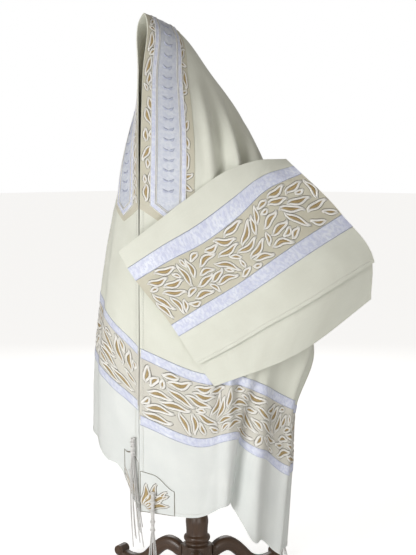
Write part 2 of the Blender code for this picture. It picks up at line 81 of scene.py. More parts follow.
# Where each station of the table below lies across the cloth
STATIONS = (0.0, UNDERSTRIP_EDGE, 24.0, 40.0, CLOTH_WIDTH)

# One row for each section across the cloth, by its distance along from the top line, negative on
# the wearer's right. Across is measured along the top line: the cloth narrows to about 41 to 54 cm
# lower down. Each point is x, y, z in centimetres.
# along, front edge, past the neckband, shoulder, side, back edge
SECTIONS = (
    (-100.0, (-0.1, -16.3, 18.0), (-12.2, -16.6, 29.4), (-20.8, -8.8, 32.0),
     (-19.5, 3.5, 33.0), (-13.0, 14.0, 27.0)),
    (-82.0, (-0.15, -16.4, 40.2), (-12.6, -16.2, 46.4), (-20.5, -7.3, 50.0),
     (-18.8, 5.0, 49.0), (-13.0, 14.5, 41.0)),
    (-67.0, (-0.15, -16.3, 52.1), (-11.5, -15.6, 59.0), (-19.2, -6.5, 63.0),
     (-18.2, 5.5, 60.0), (-12.5, 15.2, 50.0)),
    (-40.0, (-0.35, -16.0, 79.2), (-10.2, -13.4, 79.4), (-18.2, -4.0, 77.5),
     (-17.5, 8.0, 71.0), (-11.5, 16.8, 58.0)),
    (-25.0, (-0.6, -15.8, 93.9), (-7.5, -13.0, 91.6), (-14.4, -1.2, 89.8),
     (-13.2, 9.5, 82.0), (-8.5, 18.0, 62.5)),
    (-12.0, (-0.8, -15.5, 106.5), (-4.6, -8.6, 104.8), (-6.8, 3.6, 99.8),
     (-6.0, 12.4, 90.0), (-4.6, 18.6, 65.0)),
    (-2.2, (-1.0, -14.9, 116.6), (-1.5, -5.9, 113.7), (-1.8, 2.7, 106.5),
     (-1.8, 12.2, 97.0), (-1.4, 18.9, 66.2)),
    (0.0, (0.0, -14.7, 117.8), (0.0, -5.6, 115.1), (0.0, 3.0, 107.8),
     (0.0, 12.6, 98.3), (0.0, 19.0, 66.4)),
    (2.2, (1.0, -14.9, 116.6), (1.5, -5.9, 113.7), (1.8, 2.7, 106.5),
     (1.8, 12.2, 97.0), (1.4, 18.9, 66.2)),
    (12.0, (0.6, -15.6, 106.5), (4.8, -7.3, 104.8), (6.8, 3.6, 99.8),
     (6.0, 12.4, 90.0), (4.6, 18.6, 65.0)),
    (25.0, (0.4, -16.0, 93.9), (8.1, -8.9, 92.7), (14.4, 0.8, 89.8),
     (13.0, 10.5, 82.0), (9.0, 18.2, 61.5)),
    (40.0, (0.3, -16.3, 79.2), (8.8, -9.6, 78.5), (17.6, -0.6, 77.3),
     (17.5, 9.5, 70.0), (12.5, 17.2, 54.0)),
    (55.0, (0.1, -16.3, 64.0), (8.9, -9.8, 61.5), (17.2, -1.6, 61.0),
     (20.6, 10.2, 54.5), (14.8, 17.6, 45.5)),
    (67.0, (0.1, -16.3, 52.0), (8.9, -9.8, 47.6), (15.9, -2.7, 46.4),
     (17.9, 7.9, 41.2), (12.8, 15.0, 37.0)),
    (82.0, (0.1, -16.5, 37.4), (9.1, -10.0, 33.2), (15.6, -3.5, 34.4),
     (17.9, 6.6, 26.5), (13.6, 12.9, 26.0)),
    (100.0, (0.05, -16.5, 18.3), (9.2, -10.0, 17.6), (15.1, -4.0, 20.0),
     (16.7, 5.4, 9.0), (14.0, 11.8, 10.4)),
)

# Folds, each a soft ridge (positive) or trough along the cloth.
# side, across, half width, height, starts along, full along, drift across at the hem, share left
# at the hem
FOLDS = (
    (1, 13.4, 1.2, 0.60, 8, 22, 1.5, 0.1),
    (1, 16.4, 1.4, -1.65, 6, 22, 1.0, 0.1),
    (1, 19.4, 1.0, 0.85, 10, 24, 1.0, 0.1),
    (1, 22.2, 1.5, -1.95, 6, 22, 1.0, 0.1),
    (1, 26.0, 1.7, 0.80, 10, 26, 1.0, 0.2),
    (1, 35.5, 2.2, -3.90, 60, 84, -11.0, 1.0),
    (1, 31.0, 3.0, 0.70, 50, 80, 0.0, 1.0),
    (1, 35.0, 3.0, -0.50, 20, 60, 0.0, 1.0),
    (1, 43.5, 2.8, 0.95, 14, 70, 0.0, 1.0),
    (1, 51.0, 3.2, -0.65, 14, 70, 0.0, 1.0),
    (1, 58.5, 2.7, 1.10, 10, 70, 0.0, 1.0),
    (1, 65.5, 3.0, -0.50, 10, 70, 0.0, 1.0),
    (1, 15.5, 3.0, -0.30, 60, 90, 0.0, 1.0),
    (-1, 5.5, 2.4, 0.30, 30, 80, 0.0, 1.0),
    (-1, 12.0, 2.0, -0.50, 14, 60, 1.4, 1.0),
    (-1, 17.2, 2.1, 0.55, 12, 60, 1.0, 1.0),
    (-1, 22.4, 2.2, -0.60, 12, 60, 0.0, 1.0),
    (-1, 28.6, 2.2, 1.15, 10, 44, 0.0, 1.0),
    (-1, 35.5, 2.9, -0.65, 12, 50, 0.0, 1.0),
    (-1, 43.5, 2.5, 1.30, 12, 50, 0.0, 1.0),
    (-1, 51.0, 3.1, -0.70, 10, 60, 0.0, 1.0),
    (-1, 58.5, 2.6, 1.05, 8, 56, 0.0, 1.0),
    (-1, 65.5, 2.8, -0.50, 8, 60, 0.0, 1.0),
)
FOLD_FADE = (50.0, 88.0)

# %% The folded length over the shoulder
# The length of cloth folded over the wearer's left shoulder. One row for each station along it, from
# its free end in front of the slit to the fold past the shoulder.
# along, top edge, upper ribbon, lower ribbon, bottom edge, hem of the layer under it
SHOULDER_STATIONS = (0.0, 3.6, 18.0, 28.4, 34.2)
SHOULDER_LENGTH = 51.0
SHOULDER = (
    (0.0, (-2.0, -20.0, 71.4), (-0.3, -19.1, 68.2), (6.7, -13.9, 57.1),
     (11.1, -10.9, 49.2), (13.1, -8.3, 44.7)),
    (10.0, (3.2, -15.5, 76.7), (5.0, -14.9, 72.6), (11.7, -10.1, 61.1),
     (16.2, -6.4, 52.9), (16.8, -4.9, 46.5)),
    (20.5, (8.4, -11.0, 82.0), (10.2, -10.4, 76.7), (16.7, -5.7, 65.2),
     (21.1, -1.5, 57.0), (20.1, -1.4, 48.2)),
    (31.0, (13.2, -5.8, 87.0), (15.1, -5.8, 81.7), (21.3, -1.0, 69.8),
     (25.6, 3.9, 60.8), (23.3, 3.2, 50.3)),
    (41.0, (17.0, -0.3, 89.3), (18.7, -1.1, 86.1), (24.8, 4.7, 74.1),
     (29.1, 10.5, 64.9), (26.2, 9.5, 53.7)),
    (51.0, (19.9, 5.0, 89.6), (22.0, 4.8, 88.2), (28.1, 12.5, 78.7),
     (31.6, 18.8, 69.0), (30.4, 20.3, 61.1)),
)

# The cloth behind starts this far in from the outer fold and this far behind it
FOLD_LAP = 0.5
FOLD_SEAT = 0.23

# How far the folded length is set back so that it rests on the cloth under it
SHOULDER_SEAT = (-0.055, 0.055, 0.0)

# The same cloth behind the outer fold, brought round to the back of the form.
# along, top edge, middle, bottom edge
SHOULDER_BACK = (
    (0.0, (19.3, 5.6, 89.0), (25.0, 13.4, 75.0), (30.3, 20.6, 61.3)),
    (11.0, (16.6, 13.6, 85.6), (21.8, 20.2, 70.6), (26.0, 24.6, 55.5)),
    (23.0, (9.6, 17.6, 81.0), (13.4, 21.8, 66.4), (16.5, 23.4, 51.6)),
    (34.0, (1.0, 17.8, 77.5), (3.0, 20.4, 64.0), (5.0, 21.2, 50.0)),
)

# %% Smooth curves through the tables
def smooth_step(value, start, end):
    t = np.clip((value - start) / (end - start), 0.0, 1.0)
    return t * t * (3.0 - 2.0 * t)


def knot_weights(knots, at):
    """How much each knot counts in a smooth curve through the knots, for each place in at."""
    knots = np.asarray(knots, float)
    at = np.atleast_1d(np.asarray(at, float))
    last = len(knots) - 1
    k = np.clip(np.searchsorted(knots, at) - 1, 0, last - 1)
    step = knots[k + 1] - knots[k]
    f = (at - knots[k]) / step
    slopes = np.zeros((last + 1, last + 1))
    for i in range(last + 1):
        for low, share in ((i - 1, 0), (i, 1)):
            if low < 0 or low >= last:
                continue
            w = 1.0
            if 0 < i < last:
                ahead = (knots[i] - knots[i - 1]) / (knots[i + 1] - knots[i - 1])
                w = ahead if share else 1.0 - ahead
            length = knots[low + 1] - knots[low]
            slopes[i, low] -= w / length
            slopes[i, low + 1] += w / length
    rows = np.arange(len(at))
    weights = np.zeros((len(at), last + 1))
    weights[rows, k] += 2 * f**3 - 3 * f**2 + 1
    weights[rows, k + 1] += 3 * f**2 - 2 * f**3
    weights += ((f**3 - 2 * f**2 + f) * step)[:, None] * slopes[k]
    weights += ((f**3 - f**2) * step)[:, None] * slopes[k + 1]
    return weights


def table_point(table, stations, along, across):
    """Points on the smooth surface through a table of sections."""
    points = np.array([row[1:] for row in table], float)
    down = knot_weights([row[0] for row in table], along)
    over = knot_weights(stations, across)
    return np.einsum("ni,nj,ijc->nc", down, over, points)


# %% [markdown]
# A wool shawl is never quite smooth between its folds. Short creases are listed in a table:
# where each lies, how long and wide it is, which way it turns and how high it stands. The ones at
# the back and on the far side are as uneven as those that the front shows.

# %% Short creases of the shawl
# side, along, across, half length, half width, turn from the length in degrees, height
CREASES = (
    (1, 20.0, 30.0, 9.0, 1.6, 24.0, 0.22),
    (1, 27.0, 12.6, 8.0, 0.9, 6.0, -0.16),
    (1, 33.0, 26.0, 7.0, 1.1, -12.0, 0.18),
    (1, 46.0, 6.0, 7.0, 1.0, 18.0, 0.10),
    (1, 57.0, 16.0, 8.0, 1.3, -24.0, -0.14),
    (1, 62.0, 9.0, 6.0, 1.4, 30.0, 0.12),
    (1, 74.0, 5.0, 7.0, 1.5, 8.0, 0.14),
    (1, 76.0, 15.0, 8.0, 1.4, -10.0, -0.16),
    (1, 90.0, 7.5, 8.0, 1.6, 6.0, 0.18),
    (1, 92.0, 14.5, 6.0, 1.3, -12.0, -0.15),
    (1, 91.0, 30.0, 8.0, 1.6, 10.0, 0.20),
    (1, 85.0, 44.0, 9.0, 1.6, -8.0, -0.22),
    (1, 72.0, 52.0, 9.0, 1.5, 14.0, 0.22),
    (1, 60.0, 60.0, 10.0, 1.6, -10.0, -0.22),
    (1, 46.0, 48.0, 10.0, 1.7, 12.0, 0.24),
    (1, 34.0, 58.0, 9.0, 1.5, -16.0, -0.20),
    (-1, 18.0, 24.0, 8.0, 1.4, -20.0, 0.22),
    (-1, 30.0, 10.0, 8.0, 1.0, 10.0, -0.14),
    (-1, 40.0, 16.0, 8.0, 1.2, -14.0, 0.16),
    (-1, 52.0, 8.0, 9.0, 1.3, 12.0, -0.14),
    (-1, 63.0, 18.0, 8.0, 1.5, -16.0, 0.18),
    (-1, 76.0, 9.0, 8.0, 1.4, 14.0, 0.16),
    (-1, 90.0, 6.0, 8.0, 1.5, -8.0, -0.16),
    (-1, 91.0, 19.0, 7.0, 1.5, 12.0, 0.18),
    (-1, 80.0, 34.0, 9.0, 1.6, -12.0, -0.22),
    (-1, 66.0, 46.0, 10.0, 1.7, 10.0, 0.24),
    (-1, 50.0, 56.0, 9.0, 1.5, -14.0, -0.20),
    (-1, 34.0, 46.0, 9.0, 1.6, 16.0, 0.22),
    (-1, 24.0, 60.0, 8.0, 1.5, -10.0, 0.18),
)
RIPPLE_HEIGHT = 0.028


def one_crease(run, over, half_long, half_wide, turn, height):
    """The height of one crease at places given from its middle, run along and over across."""
    c, s = math.cos(math.radians(turn)), math.sin(math.radians(turn))
    long_way = (c * run + s * over) / half_long
    wide_way = (c * over - s * run) / half_wide
    return height * np.exp(-(long_way**2) - wide_way**2)


def short_creases(along, across):
    """How far the small creases stand out, in centimetres."""
    lift = np.zeros(len(along))
    for side, at_along, at_across, *size in CREASES:
        lift += one_crease(side * along - at_along, across - at_across, *size)
    waves = np.sin(0.42 * along + 0.9 * np.sin(0.31 * across))
    lift += RIPPLE_HEIGHT * waves * np.sin(0.55 * across)
    return lift * smooth_step(np.abs(along), 6.0, 16.0)


# %% Where the shawl is
def carrier(along, across):
    """The shawl without its folds. Beside the right corner the hem rises, by the deep fold it sags."""
    points = table_point(SECTIONS, STATIONS, along, across)
    points[:, 2] += 3.4 * np.exp(-(((across - 4.4) / 2.7) ** 2)) * smooth_step(-along, 84.0, 99.0)
    points[:, 2] -= 1.5 * smooth_step(along, 66.0, 84.0) * np.exp(-(((across - 28.8) / 3.4) ** 2))
    points[:, 2] -= 3.2 * smooth_step(along, 84.0, 100.0) * np.exp(-(((across - 30.2) / 4.0) ** 2))
    return points


def across_product(surface, along, across, step):
    run = surface(along + step, across) - surface(along - step, across)
    over = surface(along, across + step) - surface(along, across - step)
    out = np.cross(run, over)
    return out / np.linalg.norm(out, axis=1)[:, None]


def normals_of(surface, along, across, step=0.2):
    """Unit normals away from the form; the length over the shoulder is laid out the other way round."""
    turn = 1.0 if surface in (carrier, shawl) else -1.0
    return turn * across_product(surface, along, across, step)


def shawl(along, across):
    """Points on the middle of the shawl's cloth, folds and creases and all."""
    lift = short_creases(along, across)
    for side, at, width, height, start, full, drift, left in FOLDS:
        reach = np.maximum(side * along, 0.0)
        off = (across - at - drift * reach / HEM_AT) / width
        share = 1.0 - (1.0 - left) * smooth_step(reach, *FOLD_FADE)
        lift += height * share * smooth_step(reach, start, full) * np.exp(-(off**2))
    return carrier(along, across) + lift[:, None] * across_product(carrier, along, across, 0.25)


# %% Where the folded length is
# along, across, half length, half width, turn from the length in degrees, height
SHOULDER_CREASES = (
    (6.0, 22.0, 5.0, 1.3, 40.0, 0.12),
    (14.0, 26.0, 8.0, 1.2, 20.0, -0.10),
    (26.0, 23.5, 9.0, 1.5, -8.0, 0.12),
    (37.0, 26.0, 8.0, 1.3, 12.0, -0.12),
    (43.0, 2.2, 3.5, 0.7, -30.0, -0.16),
    (46.0, 6.0, 5.0, 1.1, 50.0, 0.12),
    (48.0, 13.0, 5.0, 1.2, 65.0, -0.12),
    (20.0, 1.6, 7.0, 0.8, 6.0, 0.08),
)


def shoulder_flat(along, across):
    """The top layer without its creases."""
    return table_point(SHOULDER, SHOULDER_STATIONS, along, across) + np.array(SHOULDER_SEAT)


def shoulder(along, across):
    """Points on the top layer over the shoulder."""
    lift = np.zeros(len(along))
    for at_along, at_across, *size in SHOULDER_CREASES:
        lift += one_crease(along - at_along, across - at_across, *size)
    out = -across_product(shoulder_flat, along, across, 0.25)
    return shoulder_flat(along, across) + lift[:, None] * out


def shoulder_under(along, across):
    """Points on the layer under it, which hangs back a little further at its hem."""
    back = 0.27 + 0.45 * smooth_step(across, 2.0, SHOULDER_STATIONS[3])
    return shoulder(along, across) - back[:, None] * normals_of(shoulder, along, across)


def shoulder_back(along, across):
    """Points on the cloth behind the outer fold; across runs 0 to 1 down it."""
    middle_rows = (0.0, 0.5, 1.0)
    wave = np.sin(along * 0.62 + 0.6) * smooth_step(across, 0.1, 0.9) * smooth_step(along, 2.0, 9.0)
    push = 0.45 * wave[:, None] * np.array((0.2, 0.98, 0.0))
    start = np.zeros(len(along))
    edge = np.full(len(along), SHOULDER_LENGTH - FOLD_LAP)
    down = across * SHOULDER_STATIONS[-1]
    fold = shoulder_under(edge, down) - FOLD_SEAT * normals_of(shoulder_under, edge, down)
    pull = 1.0 - smooth_step(along, 0.0, 10.0)
    to_fold = pull[:, None] * (fold - table_point(SHOULDER_BACK, middle_rows, start, across))
    return table_point(SHOULDER_BACK, middle_rows, along, across) + push + to_fold


print("top of the hood, in centimetres:", np.round(shawl(np.zeros(1), np.zeros(1))[0], 1))

# %% [markdown]
# ## Meshes
#
# A sheet of cloth is a closed thin shell: one grid of points a little outside the surface, one a
# little inside, and a rim that joins them. Blender's Solidify modifier would do nearly the same,
# but here the two offsets may change over the cloth, which gives rolled hems at no extra cost. The
# UV map of each sheet is its flat cut in centimetres, so a weave stays square on every fold.

# %% Turning arrays into mesh objects
def mesh_piece(name, points, faces, look, uv=None, sharp_angle=None):
    """A shaded object from points in centimetres and lists of corner numbers."""
    mesh = bpy.data.meshes.new(name)
    places = (np.asarray(points, float) + COLUMN_AXIS) * CM
    mesh.from_pydata(places.tolist(), [], [tuple(int(k) for k in face) for face in faces])
    if uv is not None:
        layer = mesh.uv_layers.new(name="cut")
        corners = np.empty(len(mesh.loops), np.int32)
        mesh.loops.foreach_get("vertex_index", corners)
        layer.data.foreach_set("uv", np.asarray(uv, np.float32)[corners].ravel())
    mesh.materials.append(look)
    work = bmesh.new()
    work.from_mesh(mesh)
    bmesh.ops.recalc_face_normals(work, faces=work.faces)
    work.to_mesh(mesh)
    work.free()
    mesh.shade_smooth()
    if sharp_angle is not None:
        mesh.set_sharp_from_angle(angle=math.radians(sharp_angle))
    made = bpy.data.objects.new(name, mesh)
    bpy.context.scene.collection.objects.link(made)
    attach(made, "root")
    return made


def grid_quads(rows, cols, first=0):
    """Corner numbers of every square in a grid of points."""
    p = (np.arange(rows - 1)[:, None] * cols + np.arange(cols - 1)[None, :]).ravel() + first
    return np.stack([p, p + 1, p + cols + 1, p + cols], axis=1)


def rim_quads(rows, cols, count):
    """The squares that join the edge of one grid to the edge of the grid behind it."""
    edge = [*range(cols), *(i * cols + cols - 1 for i in range(1, rows))]
    edge += [(rows - 1) * cols + j for j in range(cols - 2, -1, -1)]
    edge += [i * cols for i in range(rows - 2, 0, -1)]
    edge = np.array(edge)
    after = np.roll(edge, -1)
    return np.stack([edge, after, after + count, edge + count], axis=1)


def cloth_shell(name, surface, alongs, acrosses, inner, outer, look, shape=None):
    """A thin closed shell over a grid of the surface, from inner to outer along its normals."""
    along, across = (grid.ravel() for grid in np.meshgrid(alongs, acrosses, indexing="ij"))
    if shape is not None:
        along, across = shape(along, across)
    middle = surface(along, across)
    out = normals_of(surface, along, across)
    high = outer(along, across)[:, None] if callable(outer) else outer
    low = inner(along, across)[:, None] if callable(inner) else inner
    points = np.concatenate([middle + high * out, middle + low * out])
    rows, cols = len(alongs), len(acrosses)
    faces = np.concatenate(
        [
            grid_quads(rows, cols),
            grid_quads(rows, cols, rows * cols)[:, ::-1],
            rim_quads(rows, cols, rows * cols),
        ]
    )
    flat = np.stack([across, along], axis=1)
    return mesh_piece(name, points, faces, look, np.concatenate([flat, flat]), 60.0)


def steps(start, end, size):
    """Evenly spaced values from start to end, about size apart."""
    return np.linspace(start, end, max(2, int(round(abs(end - start) / size)) + 1))


# %% [markdown]
# ## Finishes
#
# The cloth is fine wool. Up close it is a plain weave with some thicker threads; from a few steps
# away it is an even cream with cloudy changes of tone and a faint bloom where light grazes it. The
# weave, the clouds and the twist of a yarn each serve several materials, so each is a node group
# with its own inputs. A colour that is the same everywhere is set straight on the shader.

# %% Helpers for node trees
def from_picker(red, green, blue):
    """A linear colour from the 0 to 255 numbers of a colour picker."""
    parts = [v / 255.0 for v in (red, green, blue)]
    return (*(((p + 0.055) / 1.055) ** 2.4 if p > 0.04045 else p / 12.92 for p in parts), 1.0)


def add_node(tree, kind, inputs=None, **settings):
    """A node with its settings and its inputs filled in; an input may be a value or a socket."""
    made = tree.nodes.new(kind)
    for key, value in settings.items():
        setattr(made, key, value)
    for key, value in (inputs or {}).items():
        if isinstance(value, bpy.types.NodeSocket):
            tree.links.new(value, made.inputs[key])
        else:
            made.inputs[key].default_value = value
    return made


def math_node(tree, operation, first, second=0.0, clamp=False):
    return add_node(
        tree, "ShaderNodeMath", {0: first, 1: second}, operation=operation, use_clamp=clamp
    ).outputs[0]


def mix_colour(tree, share, first, second, blend="MIX"):
    mixed = add_node(
        tree, "ShaderNodeMix", {0: share, 6: first, 7: second}, data_type="RGBA", blend_type=blend
    )
    return mixed.outputs[2]


def new_group(name, inputs, outputs):
    """An empty shader group with its sockets; returns the tree, its input node and its output node."""
    tree = bpy.data.node_groups.new(name, "ShaderNodeTree")
    for label, kind, value in inputs:
        socket = tree.interface.new_socket(name=label, in_out="INPUT", socket_type=kind)
        if value is not None:
            socket.default_value = value
    for label, kind in outputs:
        tree.interface.new_socket(name=label, in_out="OUTPUT", socket_type=kind)
    return tree, add_node(tree, "NodeGroupInput"), add_node(tree, "NodeGroupOutput")


def place_group(tree, group, inputs):
    return add_node(tree, "ShaderNodeGroup", inputs, node_tree=group)


# %% The weave group
def make_weave_group():
    """Plain weave from the flat cut: warp and weft pass over and under, and some threads are thicker."""
    tree, given, result = new_group(
        "wool_weave",
        [
            ("Cut", "NodeSocketVector", None),
            ("Threads per cm", "NodeSocketFloat", 12.0),
            ("Slub", "NodeSocketFloat", 0.4),
        ],
        [("Height", "NodeSocketFloat"), ("Thick threads", "NodeSocketFloat")],
    )
    apart = add_node(tree, "ShaderNodeSeparateXYZ", {0: given.outputs["Cut"]})
    waves = []
    for axis in ("X", "Y"):
        turns = math_node(tree, "MULTIPLY", apart.outputs[axis], given.outputs["Threads per cm"])
        waves.append(math_node(tree, "SINE", math_node(tree, "MULTIPLY", turns, math.pi)))
    crossing = math_node(tree, "MULTIPLY", waves[0], waves[1])
    stretched = add_node(
        tree, "ShaderNodeMapping", {"Vector": given.outputs["Cut"], "Scale": (9.0, 0.35, 1.0)}
    )
    long_threads = add_node(
        tree, "ShaderNodeTexNoise", {"Vector": stretched.outputs[0], "Scale": 1.0, "Detail": 3.0}
    )
    turned = add_node(
        tree, "ShaderNodeMapping", {"Vector": given.outputs["Cut"], "Scale": (0.35, 9.0, 1.0)}
    )
    cross_threads = add_node(
        tree, "ShaderNodeTexNoise", {"Vector": turned.outputs[0], "Scale": 1.0, "Detail": 3.0}
    )
    slubs = math_node(tree, "ADD", long_threads.outputs["Fac"], cross_threads.outputs["Fac"])
    slubs = math_node(tree, "SUBTRACT", slubs, 1.0)
    thick = math_node(tree, "MULTIPLY", slubs, given.outputs["Slub"])
    height = math_node(tree, "ADD", math_node(tree, "MULTIPLY", crossing, 0.25), thick)
    tree.links.new(height, result.inputs["Height"])
    tree.links.new(slubs, result.inputs["Thick threads"])
    return tree


WEAVE = make_weave_group()
print("group:", WEAVE.name)


# %% The cloud group
def make_cloud_group():
    """Soft patches, from 0 to 1, sharper or softer with Contrast."""
    tree, given, result = new_group(
        "soft_clouds",
        [
            ("Cut", "NodeSocketVector", None),
            ("Patches per cm", "NodeSocketFloat", 0.2),
            ("Contrast", "NodeSocketFloat", 1.5),
        ],
        [("Mask", "NodeSocketFloat")],
    )
    noise = add_node(
        tree,
        "ShaderNodeTexNoise",
        {"Vector": given.outputs["Cut"], "Scale": given.outputs["Patches per cm"], "Detail": 3.0},
    )
    centred = math_node(tree, "SUBTRACT", noise.outputs["Fac"], 0.5)
    spread = math_node(tree, "MULTIPLY", centred, given.outputs["Contrast"])
    mask = math_node(tree, "ADD", spread, 0.5, clamp=True)
    tree.links.new(mask, result.inputs["Mask"])
    return tree


CLOUDS = make_cloud_group()
print("group:", CLOUDS.name)


# %% The yarn group
def make_yarn_group():
    """Slanting ridges of a twisted or laid thread, from a map with its length in V."""
    tree, given, result = new_group(
        "laid_thread",
        [
            ("Cut", "NodeSocketVector", None),
            ("Ridges per cm", "NodeSocketFloat", 6.0),
            ("Slant", "NodeSocketFloat", 1.0),
        ],
        [("Height", "NodeSocketFloat")],
    )
    apart = add_node(tree, "ShaderNodeSeparateXYZ", {0: given.outputs["Cut"]})
    slanted = math_node(tree, "MULTIPLY", apart.outputs["X"], given.outputs["Slant"])
    place = math_node(tree, "ADD", apart.outputs["Y"], slanted)
    turns = math_node(tree, "MULTIPLY", place, given.outputs["Ridges per cm"])
    wave = math_node(tree, "SINE", math_node(tree, "MULTIPLY", turns, 2.0 * math.pi))
    height = math_node(tree, "ADD", math_node(tree, "MULTIPLY", wave, 0.5), 0.5)
    tree.links.new(height, result.inputs["Height"])
    return tree


YARN = make_yarn_group()
print("group:", YARN.name)


# %% Starting a material
def start_material(name, roughness, sheen=0.0, sheen_roughness=0.5):
    """A material with one Principled shader and the flat cut as its map."""
    made = bpy.data.materials.new(name)
    made.use_nodes = True
    tree = made.node_tree
    shader = tree.nodes["Principled BSDF"]
    shader.inputs["Roughness"].default_value = roughness
    shader.inputs["Sheen Weight"].default_value = sheen
    shader.inputs["Sheen Roughness"].default_value = sheen_roughness
    cut = add_node(tree, "ShaderNodeUVMap", uv_map="cut").outputs[0]
    return made, tree, shader, cut


def bump_into(tree, shader, height, strength, distance):
    bump = add_node(
        tree, "ShaderNodeBump", {"Height": height, "Strength": strength, "Distance": distance}
    )
    tree.links.new(bump.outputs[0], shader.inputs["Normal"])


# %% Wool, in its three tones
def make_wool(name, light, shade, threads=11.0, strength=0.35):
    """Fine wool: two close tones in clouds, darker between thick threads, and a faint bloom."""
    made, tree, shader, cut = start_material(name, 0.82, sheen=0.18, sheen_roughness=0.55)
    clouds = place_group(tree, CLOUDS, {"Cut": cut, "Patches per cm": 0.14, "Contrast": 1.6})
    weave = place_group(tree, WEAVE, {"Cut": cut, "Threads per cm": threads, "Slub": 0.6})
    tone = mix_colour(tree, clouds.outputs["Mask"], light, shade)
    share = math_node(tree, "MULTIPLY", weave.outputs["Thick threads"], 0.35, clamp=True)
    threaded = mix_colour(tree, share, tone, from_picker(255, 252, 243))
    tree.links.new(threaded, shader.inputs["Base Color"])
    bump_into(tree, shader, weave.outputs["Height"], strength, 0.0004)
    return made


cream_wool = make_wool("cream_wool", from_picker(229, 231, 219), from_picker(218, 219, 206))
white_wool = make_wool("white_wool", from_picker(231, 234, 231), from_picker(219, 223, 221))
# One beige band ground in two copies that differ by painted light and shade: band_ground is painted
# darker, as shade, for the folded length and the neckband; the lower bands' copy is painted lighter, as
# lit.
band_ground = make_wool(
    "band_ground", from_picker(211, 207, 190), from_picker(194, 189, 169), threads=8.0, strength=0.5
)
band_ground_painted_lighter = make_wool(
    "lower_band_ground_painted_lighter", from_picker(217, 215, 205), from_picker(204, 200, 189),
    threads=8.0, strength=0.5,
)
print("wool materials:", cream_wool.name, white_wool.name, band_ground.name)


# %% Satin ribbon
def make_satin(name, light, middle, dark):
    """Lavender satin with a watered brocade: raised matt patches on a shining ground."""
    made, tree, shader, cut = start_material(name, 0.36, sheen=0.25, sheen_roughness=0.3)
    patches = place_group(tree, CLOUDS, {"Cut": cut, "Patches per cm": 1.3, "Contrast": 6.0})
    wide = place_group(tree, CLOUDS, {"Cut": cut, "Patches per cm": 0.25, "Contrast": 3.0})
    weave = place_group(tree, WEAVE, {"Cut": cut, "Threads per cm": 20.0, "Slub": 0.5})
    tone = mix_colour(tree, patches.outputs["Mask"], light, middle)
    share = math_node(tree, "MULTIPLY", wide.outputs["Mask"], 0.45)
    tone = mix_colour(tree, share, tone, dark)
    tree.links.new(tone, shader.inputs["Base Color"])
    rough = math_node(tree, "ADD", math_node(tree, "MULTIPLY", patches.outputs["Mask"], 0.22), 0.3)
    tree.links.new(rough, shader.inputs["Roughness"])
    shader.inputs["Anisotropic"].default_value = 0.4
    brocade = math_node(tree, "MULTIPLY", weave.outputs["Height"], 0.3)
    height = math_node(tree, "ADD", patches.outputs["Mask"], brocade)
    bump_into(tree, shader, height, 0.35, 0.0006)
    return made


lavender_satin = make_satin(
    "lavender_satin", from_picker(231, 235, 245), from_picker(212, 217, 235), from_picker(186, 190, 220)
)
silver_satin = make_satin(
    "silver_satin", from_picker(217, 221, 229), from_picker(205, 210, 222), from_picker(190, 195, 211)
)
print("satin materials:", lavender_satin.name, silver_satin.name)


# %% Embroidery threads
def make_thread(name, light, dark, ridges, slant, roughness, metallic=0.0, strength=0.7):
    """Laid thread with painted shade: darker in the grooves between its ridges, and cloudy in tone."""
    made, tree, shader, cut = start_material(name, roughness, sheen=0.1)
    laid = place_group(tree, YARN, {"Cut": cut, "Ridges per cm": ridges, "Slant": slant})
    clouds = place_group(tree, CLOUDS, {"Cut": cut, "Patches per cm": 0.9, "Contrast": 3.0})
    # Painted shade: the colour follows the thread's relief and is darker in its grooves; the other half
    # of it follows clouds of tone at random.
    share = math_node(tree, "MULTIPLY", laid.outputs["Height"], 0.5)
    share = math_node(tree, "ADD", share, math_node(tree, "MULTIPLY", clouds.outputs["Mask"], 0.5))
    tree.links.new(mix_colour(tree, share, dark, light), shader.inputs["Base Color"])
    shader.inputs["Metallic"].default_value = metallic
    bump_into(tree, shader, laid.outputs["Height"], strength, 0.0005)
    return made


gold_thread = make_thread(
    "gold_thread", from_picker(204, 182, 132), from_picker(158, 130, 84), 5.0, 0.7, 0.45, 0.25
)
white_cord = make_thread(
    "white_cord", from_picker(252, 251, 247), from_picker(234, 231, 223), 4.0, 1.0, 0.6
)
# Dark grey thread: outside the leaves' cords it is painted shadow; it also draws the outline of each
# corner patch.
shadow_thread = make_thread(
    "shadow_thread", from_picker(150, 141, 124), from_picker(120, 111, 96), 6.0, 1.0, 0.8
)
tassel_wool = make_thread(
    "tassel_wool", from_picker(250, 249, 246), from_picker(226, 224, 222), 3.0, 1.0, 0.8
)
silver_thread = make_thread(
    "silver_thread", from_picker(214, 218, 234), from_picker(180, 186, 211), 6.0, 0.8, 0.4, 0.2
)
print("threads:", gold_thread.name, white_cord.name, shadow_thread.name, tassel_wool.name)


# %% [markdown]
# ## The shawl's cloth
#
# The shawl is one length of wool with a band and an end panel sewn to each end. Its long edges are
# rolled and stitched, so the shell is a little thicker there. The wall is drawn on an even grid,
# fine enough for the smallest crease, and closer together at the top of the hood where it bends most.

# %% The main lengths of the shawl
CLOTH_HALF = 0.06
HEM_WIDTH = 0.7
HEM_RISE = 0.05
FINE = 0.45


def hemmed(along, across):
    """Outer face of a cloth whose long edges are rolled."""
    from_edge = np.minimum(across, CLOTH_WIDTH - across)
    return CLOTH_HALF + HEM_RISE * (1.0 - smooth_step(from_edge, HEM_WIDTH - 0.15, HEM_WIDTH + 0.1))


def end_hemmed(along, across):
    """The same for an end panel, whose short edge is rolled too."""
    from_end = HEM_AT - np.abs(along)
    rolled = HEM_RISE * (1.0 - smooth_step(from_end, HEM_WIDTH - 0.15, HEM_WIDTH + 0.1))
    return np.maximum(hemmed(along, across), CLOTH_HALF + rolled)


